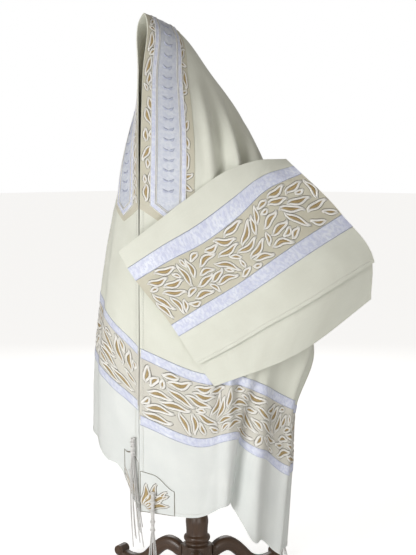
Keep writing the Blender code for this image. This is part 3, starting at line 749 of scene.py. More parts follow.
edge_lines = (0.0, 0.25, 0.5, HEM_WIDTH)
acrosses = np.concatenate(
    [edge_lines, steps(1.1, CLOTH_WIDTH - 1.1, FINE), CLOTH_WIDTH - np.flip(edge_lines)]
)
top_lines = steps(-4.0, 4.0, 0.16)
half_lines = steps(4.0, UPPER_SEAM, 0.8)[1:]
alongs = np.concatenate([-np.flip(half_lines), top_lines, half_lines])
shawl_cloth = cloth_shell("shawl_cloth", shawl, alongs, acrosses, -CLOTH_HALF, hemmed, cream_wool)
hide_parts("cloth_left", "cloth_right")
print("shawl cloth:", len(shawl_cloth.data.polygons), "faces")

# %% Bands and end panels
SEAM_GAP = 0.03
for side, hand in ((1, "left"), (-1, "right")):
    band_lines = side * steps(UPPER_SEAM + SEAM_GAP, LOWER_SEAM - SEAM_GAP, 0.8)
    # The bands low on the shawl take the copy of the band ground that is painted lighter, as lit.
    band = cloth_shell(
        f"woven_band_{hand}", shawl, np.sort(band_lines), acrosses, -CLOTH_HALF, hemmed, band_ground_painted_lighter
    )
    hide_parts(f"band_{hand}")
    panel_lines = side * np.concatenate(
        [steps(LOWER_SEAM + SEAM_GAP, HEM_AT - 1.0, 0.8), HEM_AT - np.flip(edge_lines)]
    )
    panel = cloth_shell(
        f"end_panel_{hand}", shawl, np.sort(panel_lines), acrosses, -CLOTH_HALF, end_hemmed, white_wool
    )
    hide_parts(f"end_{hand}")

# %% [markdown]
# ## The length folded over the shoulder
#
# The same cloth lies folded over the wearer's left shoulder: a top layer with its two ribbons and
# band, and a second layer that shows below it. Behind, the cloth comes round the back from the fold
# past the shoulder, where it starts just behind the second layer.

# %% Layers of the folded length
TOP_DEPTH = SHOULDER_STATIONS[3]
UNDER_DEPTH = SHOULDER_STATIONS[4]
# The cloth round the back ends this share of the way down its table
BACK_REACH = 0.86
BACK_LENGTH = 34.0


def lower_hem(depth):
    """Outer face of a layer whose lower edge is rolled."""

    def outer(along, across):
        return CLOTH_HALF + HEM_RISE * (1.0 - smooth_step(depth - across, 0.5, 0.75))

    return outer


def outlined(depth):
    """Grid lines down a layer, closer together at its edges."""
    low_lines = depth - np.flip((0.0, 0.25, 0.5))
    return np.concatenate([(0.0, 0.15, 0.35), steps(0.7, depth - 0.8, 0.45), low_lines])


shoulder_alongs = np.concatenate([(0.0, 0.25, 0.5), steps(0.9, SHOULDER_LENGTH, 0.5)])
top_layer = cloth_shell(
    "shoulder_top_layer", shoulder, shoulder_alongs, outlined(TOP_DEPTH),
    -CLOTH_HALF, lower_hem(TOP_DEPTH), cream_wool,
)
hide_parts("shoulder_top")
under_layer = cloth_shell(
    "shoulder_under_layer", shoulder_under, shoulder_alongs, outlined(UNDER_DEPTH),
    -CLOTH_HALF, lower_hem(UNDER_DEPTH), cream_wool,
)
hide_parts("shoulder_under")
back_length = cloth_shell(
    "shoulder_back_length", shoulder_back, steps(0.0, BACK_LENGTH, 0.5), steps(0.0, BACK_REACH, 0.014),
    -CLOTH_HALF, CLOTH_HALF, cream_wool,
)
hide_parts("shoulder_back")
print("folded length:", [len(layer.data.polygons) for layer in (top_layer, under_layer, back_length)])

# %% [markdown]
# ## Ribbons
#
# Satin ribbons cover the seams. They are thin strips raised off the cloth, with a fine cord woven
# into each edge. Because they use the same surface as the cloth, they dip into the same folds.

# %% Measuring a surface once
def measured(surface, alongs, acrosses):
    """Lays many small things on a surface quickly, by reading its points off one fine grid."""
    alongs, acrosses = np.sort(alongs), np.sort(acrosses)
    along, across = (grid.ravel() for grid in np.meshgrid(alongs, acrosses, indexing="ij"))
    table = np.concatenate([surface(along, across), normals_of(surface, along, across)], axis=1)
    table = table.reshape(len(alongs), len(acrosses), 6)

    def lay(along, across, off):
        i = np.interp(along, alongs, np.arange(len(alongs)))
        j = np.interp(across, acrosses, np.arange(len(acrosses)))
        i0 = np.clip(i.astype(int), 0, len(alongs) - 2)
        j0 = np.clip(j.astype(int), 0, len(acrosses) - 2)
        fi, fj = (i - i0)[..., None], (j - j0)[..., None]
        near = table[i0, j0] * (1 - fj) + table[i0, j0 + 1] * fj
        far = table[i0 + 1, j0] * (1 - fj) + table[i0 + 1, j0 + 1] * fj
        found = near * (1 - fi) + far * fi
        return found[..., :3] + np.asarray(off)[..., None] * found[..., 3:]

    return lay


all_alongs = np.concatenate([-steps(4.0, HEM_AT, 0.4)[::-1], top_lines[1:-1], steps(4.0, HEM_AT, 0.4)])
on_shawl = measured(shawl, all_alongs, steps(0.0, CLOTH_WIDTH, 0.35))
on_shoulder = measured(shoulder, steps(0.0, SHOULDER_LENGTH, 0.5), steps(0.0, TOP_DEPTH, 0.4))


# %% Cords that lie on the cloth
def tube_rings(along, across, radius, height, sides, closed):
    """Rings of flattened tubes along paths on the cloth; the last axis of a path runs along it."""
    if closed:
        run = np.roll(along, -1, axis=-1) - np.roll(along, 1, axis=-1)
        over = np.roll(across, -1, axis=-1) - np.roll(across, 1, axis=-1)
    else:
        run, over = np.gradient(along, axis=-1), np.gradient(across, axis=-1)
    size = np.hypot(run, over) + 1e-9
    turn = np.arange(sides) * 2.0 * math.pi / sides
    sideways = radius * np.cos(turn)
    ring_along = along[..., None] - (over / size)[..., None] * sideways
    ring_across = across[..., None] + (run / size)[..., None] * sideways
    rise = np.broadcast_to(0.5 * height * (1.0 + np.sin(turn)), ring_along.shape)
    return ring_along, ring_across, rise


def tube_faces(rings, sides, closed):
    """Squares between the rings of one tube; an open tube gets fans of triangles as ends."""
    faces = []
    for i in range(rings if closed else rings - 1):
        here, there = i * sides, ((i + 1) % rings) * sides
        for k in range(sides):
            n = (k + 1) % sides
            faces.append((here + k, here + n, there + n, there + k))
    if not closed:
        last = (rings - 1) * sides
        for k in range(1, sides - 1):
            faces.append((0, k, k + 1, k + 1))
            faces.append((last, last + k, last + k + 1, last + k + 1))
    return np.array(faces)


def without_repeats(faces):
    """Face tuples, with a corner that is given twice kept once."""
    return [tuple(dict.fromkeys(face)) for face in faces.tolist()]


def laid_cords(name, lay, along, across, radius, height, base, look, sides=5, closed=False):
    """One piece made of a cord along every row of along and across, all with as many points."""
    along, across = np.atleast_2d(along), np.atleast_2d(across)
    count, rings = along.shape
    ring_along, ring_across, rise = tube_rings(along, across, radius, height, sides, closed)
    points = lay(ring_along, ring_across, base + rise).reshape(-1, 3)
    one = tube_faces(rings, sides, closed)
    faces = (one[None] + (np.arange(count) * rings * sides)[:, None, None]).reshape(-1, 4)
    gone = np.hypot(np.diff(along, prepend=along[:, :1]), np.diff(across, prepend=across[:, :1]))
    length = np.broadcast_to(np.cumsum(gone, axis=1)[..., None], rise.shape)
    around = np.broadcast_to(np.arange(sides) / sides, rise.shape)
    uv = np.stack([around, length], axis=-1).reshape(-1, 2)
    return mesh_piece(name, points, without_repeats(faces), look, uv)


# %% Ribbons on the shawl and on the folded length
RIBBON_BASE = CLOTH_HALF + 0.01
RIBBON_TOP = RIBBON_BASE + 0.06
EDGE_CORD = 0.05


def ribbon_lines(start, end):
    """Grid lines across a ribbon, closer together at its edges."""
    return np.concatenate([(start, start + 0.12), steps(start + 0.4, end - 0.4, 0.4), (end - 0.12, end)])


def ribbon_outer(start, end):
    """A ribbon's face, a little fuller between its edges."""

    def outer(along, across):
        place = np.abs(along) if end > SHOULDER_LENGTH else across
        from_edge = np.minimum(place - start, end - place)
        return RIBBON_TOP + 0.03 * smooth_step(from_edge, 0.05, 0.4)

    return outer


for hand, side in (("left", 1), ("right", -1)):
    for ribbon, start in (("upper", UPPER_RIBBON_AT), ("lower", LOWER_RIBBON_AT)):
        end = start + RIBBON_WIDTH
        strip = cloth_shell(
            f"satin_ribbon_{ribbon}_{hand}", shawl, np.sort(side * ribbon_lines(start, end)),
            acrosses[1:-1], RIBBON_BASE, ribbon_outer(start, end), lavender_satin,
        )
        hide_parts(f"ribbon_{ribbon}_{hand}")

SHOULDER_RIBBONS = (("upper", 3.6, 6.6), ("lower", 18.0, 21.0))
for ribbon, start, end in SHOULDER_RIBBONS:
    strip = cloth_shell(
        f"satin_ribbon_{ribbon}_shoulder", shoulder, shoulder_alongs, ribbon_lines(start, end),
        RIBBON_BASE, ribbon_outer(start, end), lavender_satin,
    )
    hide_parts(f"shoulder_ribbon_{ribbon}")

# %% The band on the folded length
BAND_TOP, BAND_BOTTOM = 6.65, 17.95
# Its ground is the copy of the band ground that is painted darker, as shade.
shoulder_panel = cloth_shell(
    "woven_band_shoulder", shoulder, shoulder_alongs, steps(BAND_TOP, BAND_BOTTOM, 0.45),
    RIBBON_BASE, RIBBON_BASE + 0.05, band_ground,
)
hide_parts("shoulder_band")

# %% Woven edges of the ribbons
SELVAGE = 0.06
shawl_selvages = [
    side * (start + place)
    for side in (1, -1)
    for start in (UPPER_RIBBON_AT, LOWER_RIBBON_AT)
    for place in (SELVAGE, RIBBON_WIDTH - SELVAGE)
]
across = steps(0.05, CLOTH_WIDTH - 0.05, 0.5)
ribbon_edges = laid_cords(
    "ribbon_edges", on_shawl, np.repeat(np.array(shawl_selvages)[:, None], len(across), axis=1),
    np.repeat(across[None, :], len(shawl_selvages), axis=0), SELVAGE, EDGE_CORD, RIBBON_TOP - 0.02,
    silver_thread, 4,
)
shoulder_selvages = [
    place for _, start, end in SHOULDER_RIBBONS for place in (start + SELVAGE, end - SELVAGE)
]
along = steps(0.05, SHOULDER_LENGTH - 0.05, 0.5)
shoulder_ribbon_edges = laid_cords(
    "shoulder_ribbon_edges", on_shoulder, np.repeat(along[None, :], len(shoulder_selvages), axis=0),
    np.repeat(np.array(shoulder_selvages)[:, None], len(along), axis=1), SELVAGE, EDGE_CORD,
    RIBBON_TOP - 0.02, silver_thread, 4,
)
print("woven edges:", len(shawl_selvages) + len(shoulder_selvages))


# %% [markdown]
# ## Corded leaves
#
# The bands are worked in gold thread: slender bent leaves, each edged with a thick white cord that
# stands up from the cloth. The thin grey line outside each cord is painted shadow, standing in for
# the shade that the cord casts on the cloth. The design here is a plain one of its own: bent leaves
# lean away from a wavy line down the band. They are packed by a rule, the long ones first and then
# shorter ones in the gaps, the smallest at any angle. Every leaf is real relief, laid on the
# measured surface, so it catches light and shows in outline.

# %% Outlines of leaves
LEAF_POINTS = 10
LEAF_TWIST = 0.55


def leaf_shapes(leaves):
    """Middle lines and half widths of leaves: rows of along, across, angle, length, half width, bend."""
    along, across, angle, length, half, bend = np.array(leaves, float).T
    t = np.linspace(0.0, 1.0, LEAF_POINTS)
    twist = bend[:, None] * (t - 0.3)[None, :]
    twist = twist + LEAF_TWIST * np.sign(bend)[:, None] * np.sin(2.0 * math.pi * t)
    heading = angle[:, None] + twist
    pace = (length / (LEAF_POINTS - 1))[:, None]
    middle = 0.5 * (heading[:, 1:] + heading[:, :-1])
    zero = np.zeros((len(leaves), 1))
    run = np.concatenate([zero, np.cumsum(np.cos(middle) * pace, axis=1)], axis=1)
    over = np.concatenate([zero, np.cumsum(np.sin(middle) * pace, axis=1)], axis=1)
    wide = half[:, None] * np.sin(math.pi * t**0.85)[None, :] ** 1.25 + 0.02
    return along[:, None] + run, across[:, None] + over, heading, wide, t[None, :] * length[:, None]


def leaf_cores(name, lay, leaves, base, rise, look, narrow):
    """The gold inside of every leaf, a low dome a little narrower than its outline."""
    along, across, heading, wide, length = leaf_shapes(leaves)
    wide = np.maximum(wide - narrow, 0.02)
    s = np.array((-1.0, -0.5, 0.0, 0.5, 1.0))
    offset = wide[..., None] * s
    core_along = along[..., None] - np.sin(heading)[..., None] * offset
    core_across = across[..., None] + np.cos(heading)[..., None] * offset
    height = base + rise * np.broadcast_to(1.0 - s**2, offset.shape)
    points = lay(core_along, core_across, height).reshape(-1, 3)
    rows, cols = LEAF_POINTS, len(s)
    top = grid_quads(rows, cols)
    left = np.arange(rows - 1) * cols
    under = np.stack([left, left + cols, left + 2 * cols - 1, left + cols - 1], axis=1)
    ends = np.array([(0, 1, 3, 4), (1, 2, 3, 3), (45, 46, 48, 49), (46, 47, 48, 48)])
    one = np.concatenate([top, under, ends])
    faces = (one[None] + (np.arange(len(leaves)) * rows * cols)[:, None, None]).reshape(-1, 4)
    uv = np.stack([offset, np.broadcast_to(length[..., None], offset.shape)], axis=-1).reshape(-1, 2)
    return mesh_piece(name, points, without_repeats(faces), look, uv)


def leaf_edges(leaves, grow=0.0):
    """Closed outlines of the leaves, drawn outwards by grow."""
    along, across, heading, wide, _ = leaf_shapes(leaves)
    wide = wide + grow
    left = along - np.sin(heading) * wide, across + np.cos(heading) * wide
    right = along + np.sin(heading) * wide, across - np.cos(heading) * wide
    return tuple(np.concatenate([a, b[:, -1:0:-1]], axis=1) for a, b in zip(left, right))


def embroider(name, lay, leaves, base, cord=0.25):
    """Leaves with their cord and, outside it, a thin line of painted shadow; returns the pieces."""
    # The lines outside the cords are painted shadow: a thin dark thread laid where each cord's shade
    # falls.
    cords, lines = leaf_edges(leaves), leaf_edges(leaves, cord + 0.05)
    pieces = [
        leaf_cores(f"{name}_cores", lay, leaves, base, 0.08, gold_thread, 0.75 * cord),
        laid_cords(f"{name}_cords", lay, *cords, cord, 0.55 * cord, base, white_cord, 6, True),
        laid_cords(f"{name}_lines", lay, *lines, 0.045, 0.03, base, shadow_thread, 4, True),
    ]
    return pieces


# %% A layout of leaves
STEM_WAVE = 19.0
LEAF_GAP = 0.31
LEAF_MARGIN = 0.22
# The wavy line swings this share of the band's height each way from the middle
STEM_SWING = 0.27
# length, half width, tries
LEAF_SIZES = (
    (6.0, 0.58, 1400), (5.0, 0.55, 1400), (4.1, 0.51, 1400), (3.2, 0.46, 1200), (2.3, 0.38, 900),
)


def leaf_sprays(length, height, seed, sizes=LEAF_SIZES):
    """Rows of u, v, angle, length, half width and bend over a band, v across it, long leaves first."""
    random = np.random.default_rng(seed)
    taken = np.full((1, 3), -99.0)
    kept = []
    for reach, half, tries in sizes:
        for _ in range(tries):
            u, v = random.uniform(0.0, length), random.uniform(0.0, height)
            phase = 2.0 * math.pi * u / STEM_WAVE + seed
            stem = height * (0.5 + STEM_SWING * math.sin(phase))
            slope = math.atan(STEM_SWING * height * math.cos(phase) * 2.0 * math.pi / STEM_WAVE)
            side = 1.0 if v > stem else -1.0
            angle = slope + side * math.radians(random.uniform(28.0, 66.0))
            if reach < 3.5:
                angle = random.uniform(-math.pi, math.pi)
            bend = -side * random.uniform(0.4, 1.7) * (1.5 if reach < 3.0 else 1.0)
            leaf = (u, v, angle, reach * random.uniform(0.9, 1.1), half, bend)
            runs, overs, _, wide, _ = leaf_shapes([leaf])
            runs, overs, wide = runs[0], overs[0], wide[0]
            edge = min((runs - wide).min(), (overs - wide).min())
            far_edge = min(length - (runs + wide).max(), height - (overs + wide).max())
            apart = np.hypot(runs[:, None] - taken[:, 0], overs[:, None] - taken[:, 1])
            room = (apart - wide[:, None] - taken[:, 2]).min()
            if min(edge, far_edge) < LEAF_MARGIN or room < LEAF_GAP:
                continue
            kept.append(leaf)
            taken = np.concatenate([taken, np.stack([runs, overs, wide], axis=1)])
    return kept


# %% Embroidery of the three bands
BAND_HEIGHT = LOWER_RIBBON_AT - UPPER_RIBBON_AT - RIBBON_WIDTH
for hand, side, seed in (("left", 1, 3), ("right", -1, 8)):
    leaves = []
    for u, v, angle, length, half, bend in leaf_sprays(CLOTH_WIDTH, BAND_HEIGHT, seed):
        on_band = side * (UPPER_RIBBON_AT + RIBBON_WIDTH + v)
        turned = math.atan2(math.cos(angle), side * math.sin(angle))
        leaves.append((on_band, u, turned, length, half, -side * bend))
    embroider(f"leaves_{hand}", on_shawl, leaves, CLOTH_HALF)
    print("leaves,", hand, "band:", len(leaves))
shoulder_leaves = [
    (u, BAND_TOP + v, angle, length, half, bend)
    for u, v, angle, length, half, bend in leaf_sprays(SHOULDER_LENGTH, BAND_BOTTOM - BAND_TOP, 5)
]
embroider(
    "leaves_shoulder", on_shoulder, shoulder_leaves, RIBBON_BASE + 0.05
)
print("leaves, shoulder band:", len(shoulder_leaves))

# %% [markdown]
# ## The neckband
#
# A band runs along the front edge over the head. A beige strip worked with leaves lies under a
# lavender satin strip, and both end in points on the chest. The middle of the satin strip holds a
# plain row of small leaf pairs. The ends are made by stretching the last stretch of the grid to a
# point, which keeps the strips on the cloth's own surface.

# %% The two strips
NECK_MIDDLE = 5.5
NECK_HALF = 3.5
NECK_CORNER = 38.6
NECK_TIP = 41.3
POINT_START = 34.0
STRIP_BASE = CLOTH_HALF + HEM_RISE + 0.09
STRIP_TOP = STRIP_BASE + 0.05


def pointed(corner, tip, half):
    """Stretches the ends of a strip's grid to a point on its middle line."""

    def shape(along, across):
        rise = np.clip(1.0 - np.abs(across - NECK_MIDDLE) / half, 0.0, 1.0)
        reach = corner + (tip - corner) * rise
        past = np.maximum(np.abs(along) - POINT_START, 0.0) / (tip - POINT_START)
        drawn = np.minimum(np.abs(along), POINT_START) + past * (reach - POINT_START)
        return np.sign(along) * drawn, across

    return shape


def neck_lines(tip):
    ends = steps(4.0, tip, 0.5)[1:]
    return np.concatenate([-np.flip(ends), top_lines, ends])


# The ground strip takes the copy of the band ground that is painted darker, as shade.
neckband_ground = cloth_shell(
    "neckband_ground", shawl, neck_lines(42.6), steps(0.05, UNDERSTRIP_EDGE, 0.4),
    CLOTH_HALF + 0.01, CLOTH_HALF + HEM_RISE + 0.06, band_ground, pointed(39.4, 42.6, 5.4),
)
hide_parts("neckband_understrip")
neckband_panel = cloth_shell(
    "neckband_panel", shawl, neck_lines(NECK_TIP), steps(2.0, 9.0, 0.35),
    STRIP_BASE, STRIP_TOP, silver_satin, pointed(NECK_CORNER, NECK_TIP, NECK_HALF),
)
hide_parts("neckband_strip")
print("neckband: two strips,", round(2 * NECK_TIP, 1), "cm long")

# %% The lavender border of the strip
BORDER_WIDTH = 0.95


def strip_outline(inset):
    """Corner places of the strip's outline, drawn inwards by inset."""
    half = NECK_HALF - inset
    slope = (NECK_TIP - NECK_CORNER) / NECK_HALF
    corner = NECK_CORNER - inset * (math.hypot(1.0, slope) - slope)
    tip = NECK_TIP - inset * math.hypot(1.0, slope)
    low, high = NECK_MIDDLE - half, NECK_MIDDLE + half
    return [
        (tip, NECK_MIDDLE), (corner, low), (-corner, low),
        (-tip, NECK_MIDDLE), (-corner, high), (corner, high),
    ]


def outline_points(inset):
    """The outline with as many points on each side as any other inset has."""
    corners = strip_outline(inset)
    parts = []
    for (a, b), (c, d), count in zip(corners, corners[1:] + corners[:1], (8, 170, 8, 8, 170, 8)):
        share = np.linspace(0.0, 1.0, count, endpoint=False)
        parts.append(np.stack([a + (c - a) * share, b + (d - b) * share], axis=1))
    return np.concatenate(parts).T


# inset from the edge, height above the strip
BORDER_SECTION = ((0.0, 0.0), (0.02, 0.06), (0.3, 0.09), (0.65, 0.09), (0.93, 0.06), (0.95, 0.0))
outlines = [outline_points(inset) for inset, _ in BORDER_SECTION]
border_along = np.stack([o[0] for o in outlines], axis=1)
border_across = np.stack([o[1] for o in outlines], axis=1)
border_rise = STRIP_TOP + np.broadcast_to([rise for _, rise in BORDER_SECTION], border_along.shape)
neckband_border = mesh_piece(
    "neckband_border",
    on_shawl(border_along, border_across, border_rise).reshape(-1, 3),
    without_repeats(tube_faces(len(border_along), len(BORDER_SECTION), True)),
    lavender_satin,
    np.stack([border_across, border_along], axis=-1).reshape(-1, 2),
    50.0,
)
piping_insets = (0.08, BORDER_WIDTH + 0.05, BORDER_WIDTH + 0.32)
piping_along, piping_across = np.stack([outline_points(inset) for inset in piping_insets], axis=1)
neckband_piping = laid_cords(
    "neckband_piping", on_shawl, piping_along, piping_across,
    0.085, 0.11, STRIP_TOP + 0.03, white_cord, 6, True,
)

# %% Leaves of the neckband
PAIR_SPACING = 2.1
PAIR_LEAN = 58.0
# length, half width
PAIR_SIZE = (1.35, 0.24)
pairs = []
for place in np.arange(-17, 18) * PAIR_SPACING:
    for lean in (1.0, -1.0):
        angle = math.radians(lean * PAIR_LEAN) + (0.0 if place < 0 else math.pi)
        pairs.append((place, NECK_MIDDLE, angle, *PAIR_SIZE, 0.5 * lean))
neck_pairs = leaf_cores(
    "neckband_pairs", on_shawl, pairs, STRIP_TOP + 0.01, 0.10, silver_thread, 0.0
)
# The leaves at its margins run a little way in under the border, as if cut from a wider band
MARGIN_LENGTH = 77.0
MARGIN_WIDTH = 2.75
MARGIN_SIZES = ((3.8, 0.44, 900), (2.9, 0.40, 900), (2.1, 0.33, 900), (1.5, 0.26, 700))
margins = []
for edge, way, seed in ((0.1, 1.0, 11), (10.5, -1.0, 4)):
    sprays = leaf_sprays(MARGIN_LENGTH, MARGIN_WIDTH, seed, MARGIN_SIZES)
    for u, v, angle, length, half, bend in sprays:
        place = u - 0.5 * MARGIN_LENGTH
        margins.append((place, edge + way * v, way * angle, length, half, way * bend))
embroider(
    "leaves_neckband", on_shawl, margins, CLOTH_HALF + HEM_RISE + 0.05, cord=0.19
)
print("neckband leaves:", len(pairs), "pairs' leaves and", len(margins), "at the margins")


# %% [markdown]
# ## Corner patches and stitching
#
# Each corner is doubled with a small worked patch that carries the eyelet of its tassel. Two rows of
# fine stitches hold the rolled edges. Stitches this small could be a texture, but as little cords
# they are cheap and keep their shape when the part is seen from close by.

# %% Corner patches
PATCH_AT = 92.0
PATCH_WIDTHS = {"left": 6.6, "right": 3.4}
BACK_PATCH_AT = 65.6
FAN_START = 0.9
PATCH_BASE = CLOTH_HALF + HEM_RISE + 0.01


def patch_leaves(along, across, along_way, across_way, reach):
    """A fan of small leaves that opens from the outer corner of a patch."""
    leaves = []
    for turn, share in ((10.0, 0.9), (30.0, 1.1), (50.0, 1.15), (70.0, 1.1), (86.0, 0.9)):
        angle = math.radians(turn)
        heading = math.atan2(across_way * math.cos(angle), along_way * math.sin(angle))
        leaves.append(
            (along + FAN_START * math.cos(heading), across + FAN_START * math.sin(heading), heading,
             share * reach, 0.1 * reach, 0.7 if turn < 45.0 else -0.7)
        )
    return leaves


def patch_round(low, high):
    """Draws the inner edge of a patch down towards its far side."""

    def shape(along, across):
        inner = (HEM_AT - np.abs(along)) / (HEM_AT - PATCH_AT)
        cut = 2.4 * smooth_step(across, low + 0.4 * (high - low), high)
        return along + np.sign(along) * cut * inner, across

    return shape


patches = []
patch_fans = []
for hand, side in (("left", 1), ("right", -1)):
    spans = (("front", 0.1, PATCH_WIDTHS[hand]), ("back", BACK_PATCH_AT, CLOTH_WIDTH - 0.1))
    for place, low, high in spans:
        lines = np.sort(side * steps(PATCH_AT, HEM_AT - 0.1, 0.4))
        patch = cloth_shell(
            f"worked_patch_{hand}_{place}", shawl, lines, steps(low, high, 0.4),
            PATCH_BASE, PATCH_BASE + 0.06, white_wool, patch_round(low, high),
        )
        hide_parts(f"corner_patch_{hand}_{place}")
        patches.append(patch)
        corner_across = low + 0.3 if place == "front" else high - 0.3
        inward = 1.0 if place == "front" else -1.0
        reach = 0.92 * (high - low) - FAN_START
        patch_fans += patch_leaves(side * (HEM_AT - 0.6), corner_across, -side, inward, reach)
embroider(
    "leaves_patches", on_shawl, patch_fans, PATCH_BASE + 0.06, cord=0.14
)
outline_along, outline_across = [], []
for side, width in ((1, PATCH_WIDTHS["left"]), (-1, PATCH_WIDTHS["right"])):
    for low, high in ((0.1, width), (BACK_PATCH_AT, CLOTH_WIDTH - 0.1)):
        near, far = side * (PATCH_AT + 0.06), side * (HEM_AT - 0.16)
        corners = [(near, low + 0.06), (near, high - 0.06), (far, high - 0.06), (far, low + 0.06)]
        path = [
            np.linspace(a, b, 14, endpoint=False)
            for a, b in zip(np.array(corners), np.roll(corners, -1, axis=0))
        ]
        path = np.concatenate(path)
        rounded = patch_round(low, high)(path[:, 0], path[:, 1])
        outline_along.append(rounded[0])
        outline_across.append(rounded[1])
patch_edges = laid_cords(
    "patch_edges", on_shawl, np.array(outline_along), np.array(outline_across), 0.065, 0.08,
    PATCH_BASE + 0.02, shadow_thread, 5, True,
)
print("patches:", len(patches))

# %% Stitches of the rolled edges
STITCH_PITCH = 0.55
STITCH_LENGTH = 0.36
STITCH = STITCH_LENGTH * np.array((-0.5, 0.0, 0.5))
stitch_along, stitch_across = [], []
middles = np.arange(-HEM_AT + 0.9, HEM_AT - 0.8, STITCH_PITCH)
for across in (0.5, HEM_WIDTH + 0.08, CLOTH_WIDTH - HEM_WIDTH - 0.08):
    for middle in middles:
        if across < 1.0 and (abs(middle) > PATCH_AT or abs(middle) < 39.0):
            continue
        stitch_along.append(middle + STITCH)
        stitch_across.append(np.full(3, across))
for side in (1, -1):
    for across in np.arange(7.0, 65.2, STITCH_PITCH):
        stitch_along.append(np.full(3, side * (HEM_AT - HEM_WIDTH - 0.05)))
        stitch_across.append(across + STITCH)
edge_stitches = laid_cords(
    "edge_stitches", on_shawl, np.array(stitch_along), np.array(stitch_across), 0.035, 0.05,
    CLOTH_HALF + 0.02, white_cord, 4,
)
hem_middles = np.arange(0.8, SHOULDER_LENGTH - 0.6, STITCH_PITCH)
hem_stitches = laid_cords(
    "shoulder_hem_stitches", on_shoulder,
    hem_middles[:, None] + STITCH[None, :],
    np.full((len(hem_middles), 3), TOP_DEPTH - 0.62), 0.035, 0.05, CLOTH_HALF + 0.01, white_cord, 4,
)
print("stitches:", len(stitch_along) + len(hem_middles))

# %% [markdown]
# ## Tassels
#
# At each corner four long cords are drawn through an eyelet and knotted, then wound round and
# round, knotted again, and left to hang as eight loose strands. The winding is one long helix that
# swells at the knots. Each loose strand is two plies that turn about each other.

# %% Sweeping a round section along a path in space
def swept(path, radius, sides):
    """Points and faces of a tube along a path of points in space."""
    ahead = np.gradient(path, axis=0)
    ahead /= np.linalg.norm(ahead, axis=1)[:, None]
    upright = np.abs(ahead[:, 2:3]) > 0.9
    lead = np.where(upright, np.array((1.0, 0.0, 0.0)), np.array((0.0, 0.0, 1.0)))
    first = np.cross(ahead, lead)
    first /= np.linalg.norm(first, axis=1)[:, None]
    second = np.cross(ahead, first)
    turn = np.arange(sides) * 2.0 * math.pi / sides
    wide = np.broadcast_to(radius, len(path))[:, None, None]
    c, s = np.cos(turn)[None, :, None], np.sin(turn)[None, :, None]
    ring = c * first[:, None, :] + s * second[:, None, :]
    points = path[:, None, :] + wide * ring
    gone = np.cumsum(np.linalg.norm(np.diff(path, axis=0, prepend=path[:1]), axis=1))
    uv = np.stack(np.broadcast_arrays(turn[None, :] / 6.283, gone[:, None]), axis=-1)
    return points.reshape(-1, 3), tube_faces(len(path), sides, False), uv.reshape(-1, 2)


def joined(pieces):
    """One set of points, faces and map from several."""
    points, faces, uv, count = [], [], [], 0
    for some, some_faces, some_uv in pieces:
        points.append(some)
        faces.append(some_faces + count)
        uv.append(some_uv)
        count += len(some)
    return np.concatenate(points), np.concatenate(faces), np.concatenate(uv)


# %% Making a tassel
# name, along, across, off the cloth, length, length of the wound part, lean
TASSELS = (
    ("left_front", 95.5, 2.6, 0.82, 20.0, 8.0, (0.05, -0.05)),
    ("right_front", -88.5, 0.8, 0.95, 22.0, 3.6, (0.12, -0.03)),
    ("left_back", 96.0, 67.8, 0.70, 11.4, 6.0, (0.02, 0.06)),
    ("right_back", -95.5, 67.6, 0.80, 22.0, 8.0, (-0.04, 0.06)),
)
WINDING_PITCH = 0.23
KNOTS = (0.02, 0.24, 0.5, 0.76, 0.97)


def winding(top, wound):
    """The wound part: a helix of cord that swells at each knot."""
    turns = wound / WINDING_PITCH
    place = np.linspace(0.0, 1.0, int(turns * 10))
    swell = sum(np.exp(-(((place - knot) / 0.024) ** 2)) for knot in KNOTS)
    angle = 2.0 * math.pi * turns * place
    reach = 0.27 + 0.2 * swell
    path = np.stack(
        [
            top[0] + reach * np.cos(angle),
            top[1] + reach * np.sin(angle),
            top[2] - wound * place,
        ],
        axis=1,
    )
    core = np.array(top) - np.array((0.0, 0.0, 1.0)) * np.linspace(0.0, wound, 12)[:, None]
    return [swept(path, 0.125 + 0.03 * swell, 5), swept(core, 0.26, 8)]


def loose_strand(start, number, length, lean):
    """Two plies about each other that hang down and spread a little."""
    t = np.linspace(0.0, 1.0, int(length * 11))
    turn = 2.0 * math.pi * number / 8.0 + 0.4
    out = np.array((math.cos(turn), math.sin(turn), 0.0))
    spread = 0.2 + 0.95 * t**0.8
    sway = 0.16 * np.sin(2.3 * number + 5.0 * t) * t
    middle = np.array(start) + out * spread[:, None]
    middle = middle + np.array((*lean, 0.0)) * (length * t * t)[:, None]
    middle[:, 0] += sway
    middle[:, 1] -= sway
    middle[:, 2] -= length * t
    plies = []
    for ply in (0.0, math.pi):
        angle = 2.0 * math.pi * length * t / 0.62 + ply
        around = np.stack([np.cos(angle), np.sin(angle), np.zeros(len(t))], axis=1)
        plies.append(swept(middle + 0.06 * around, 0.08, 4))
    end = middle[-1] + np.array((0.0, 0.0, 1.0)) * np.array((0.16, 0.05, -0.06))[:, None]
    plies.append(swept(end, np.array((0.05, 0.13, 0.05)), 6))
    return plies


def eyelet_cord(along, across, root):
    """The cord that comes out of the eyelet and bends down into the first knot."""
    at = np.full(5, along), np.full(5, across)
    path = on_shawl(*at, np.linspace(0.0, 0.5, 5))
    share = np.linspace(0.0, 1.0, 5)[:, None] ** 1.5
    path = path * (1.0 - share) + root * share
    return [swept(path, 0.16, 6)]


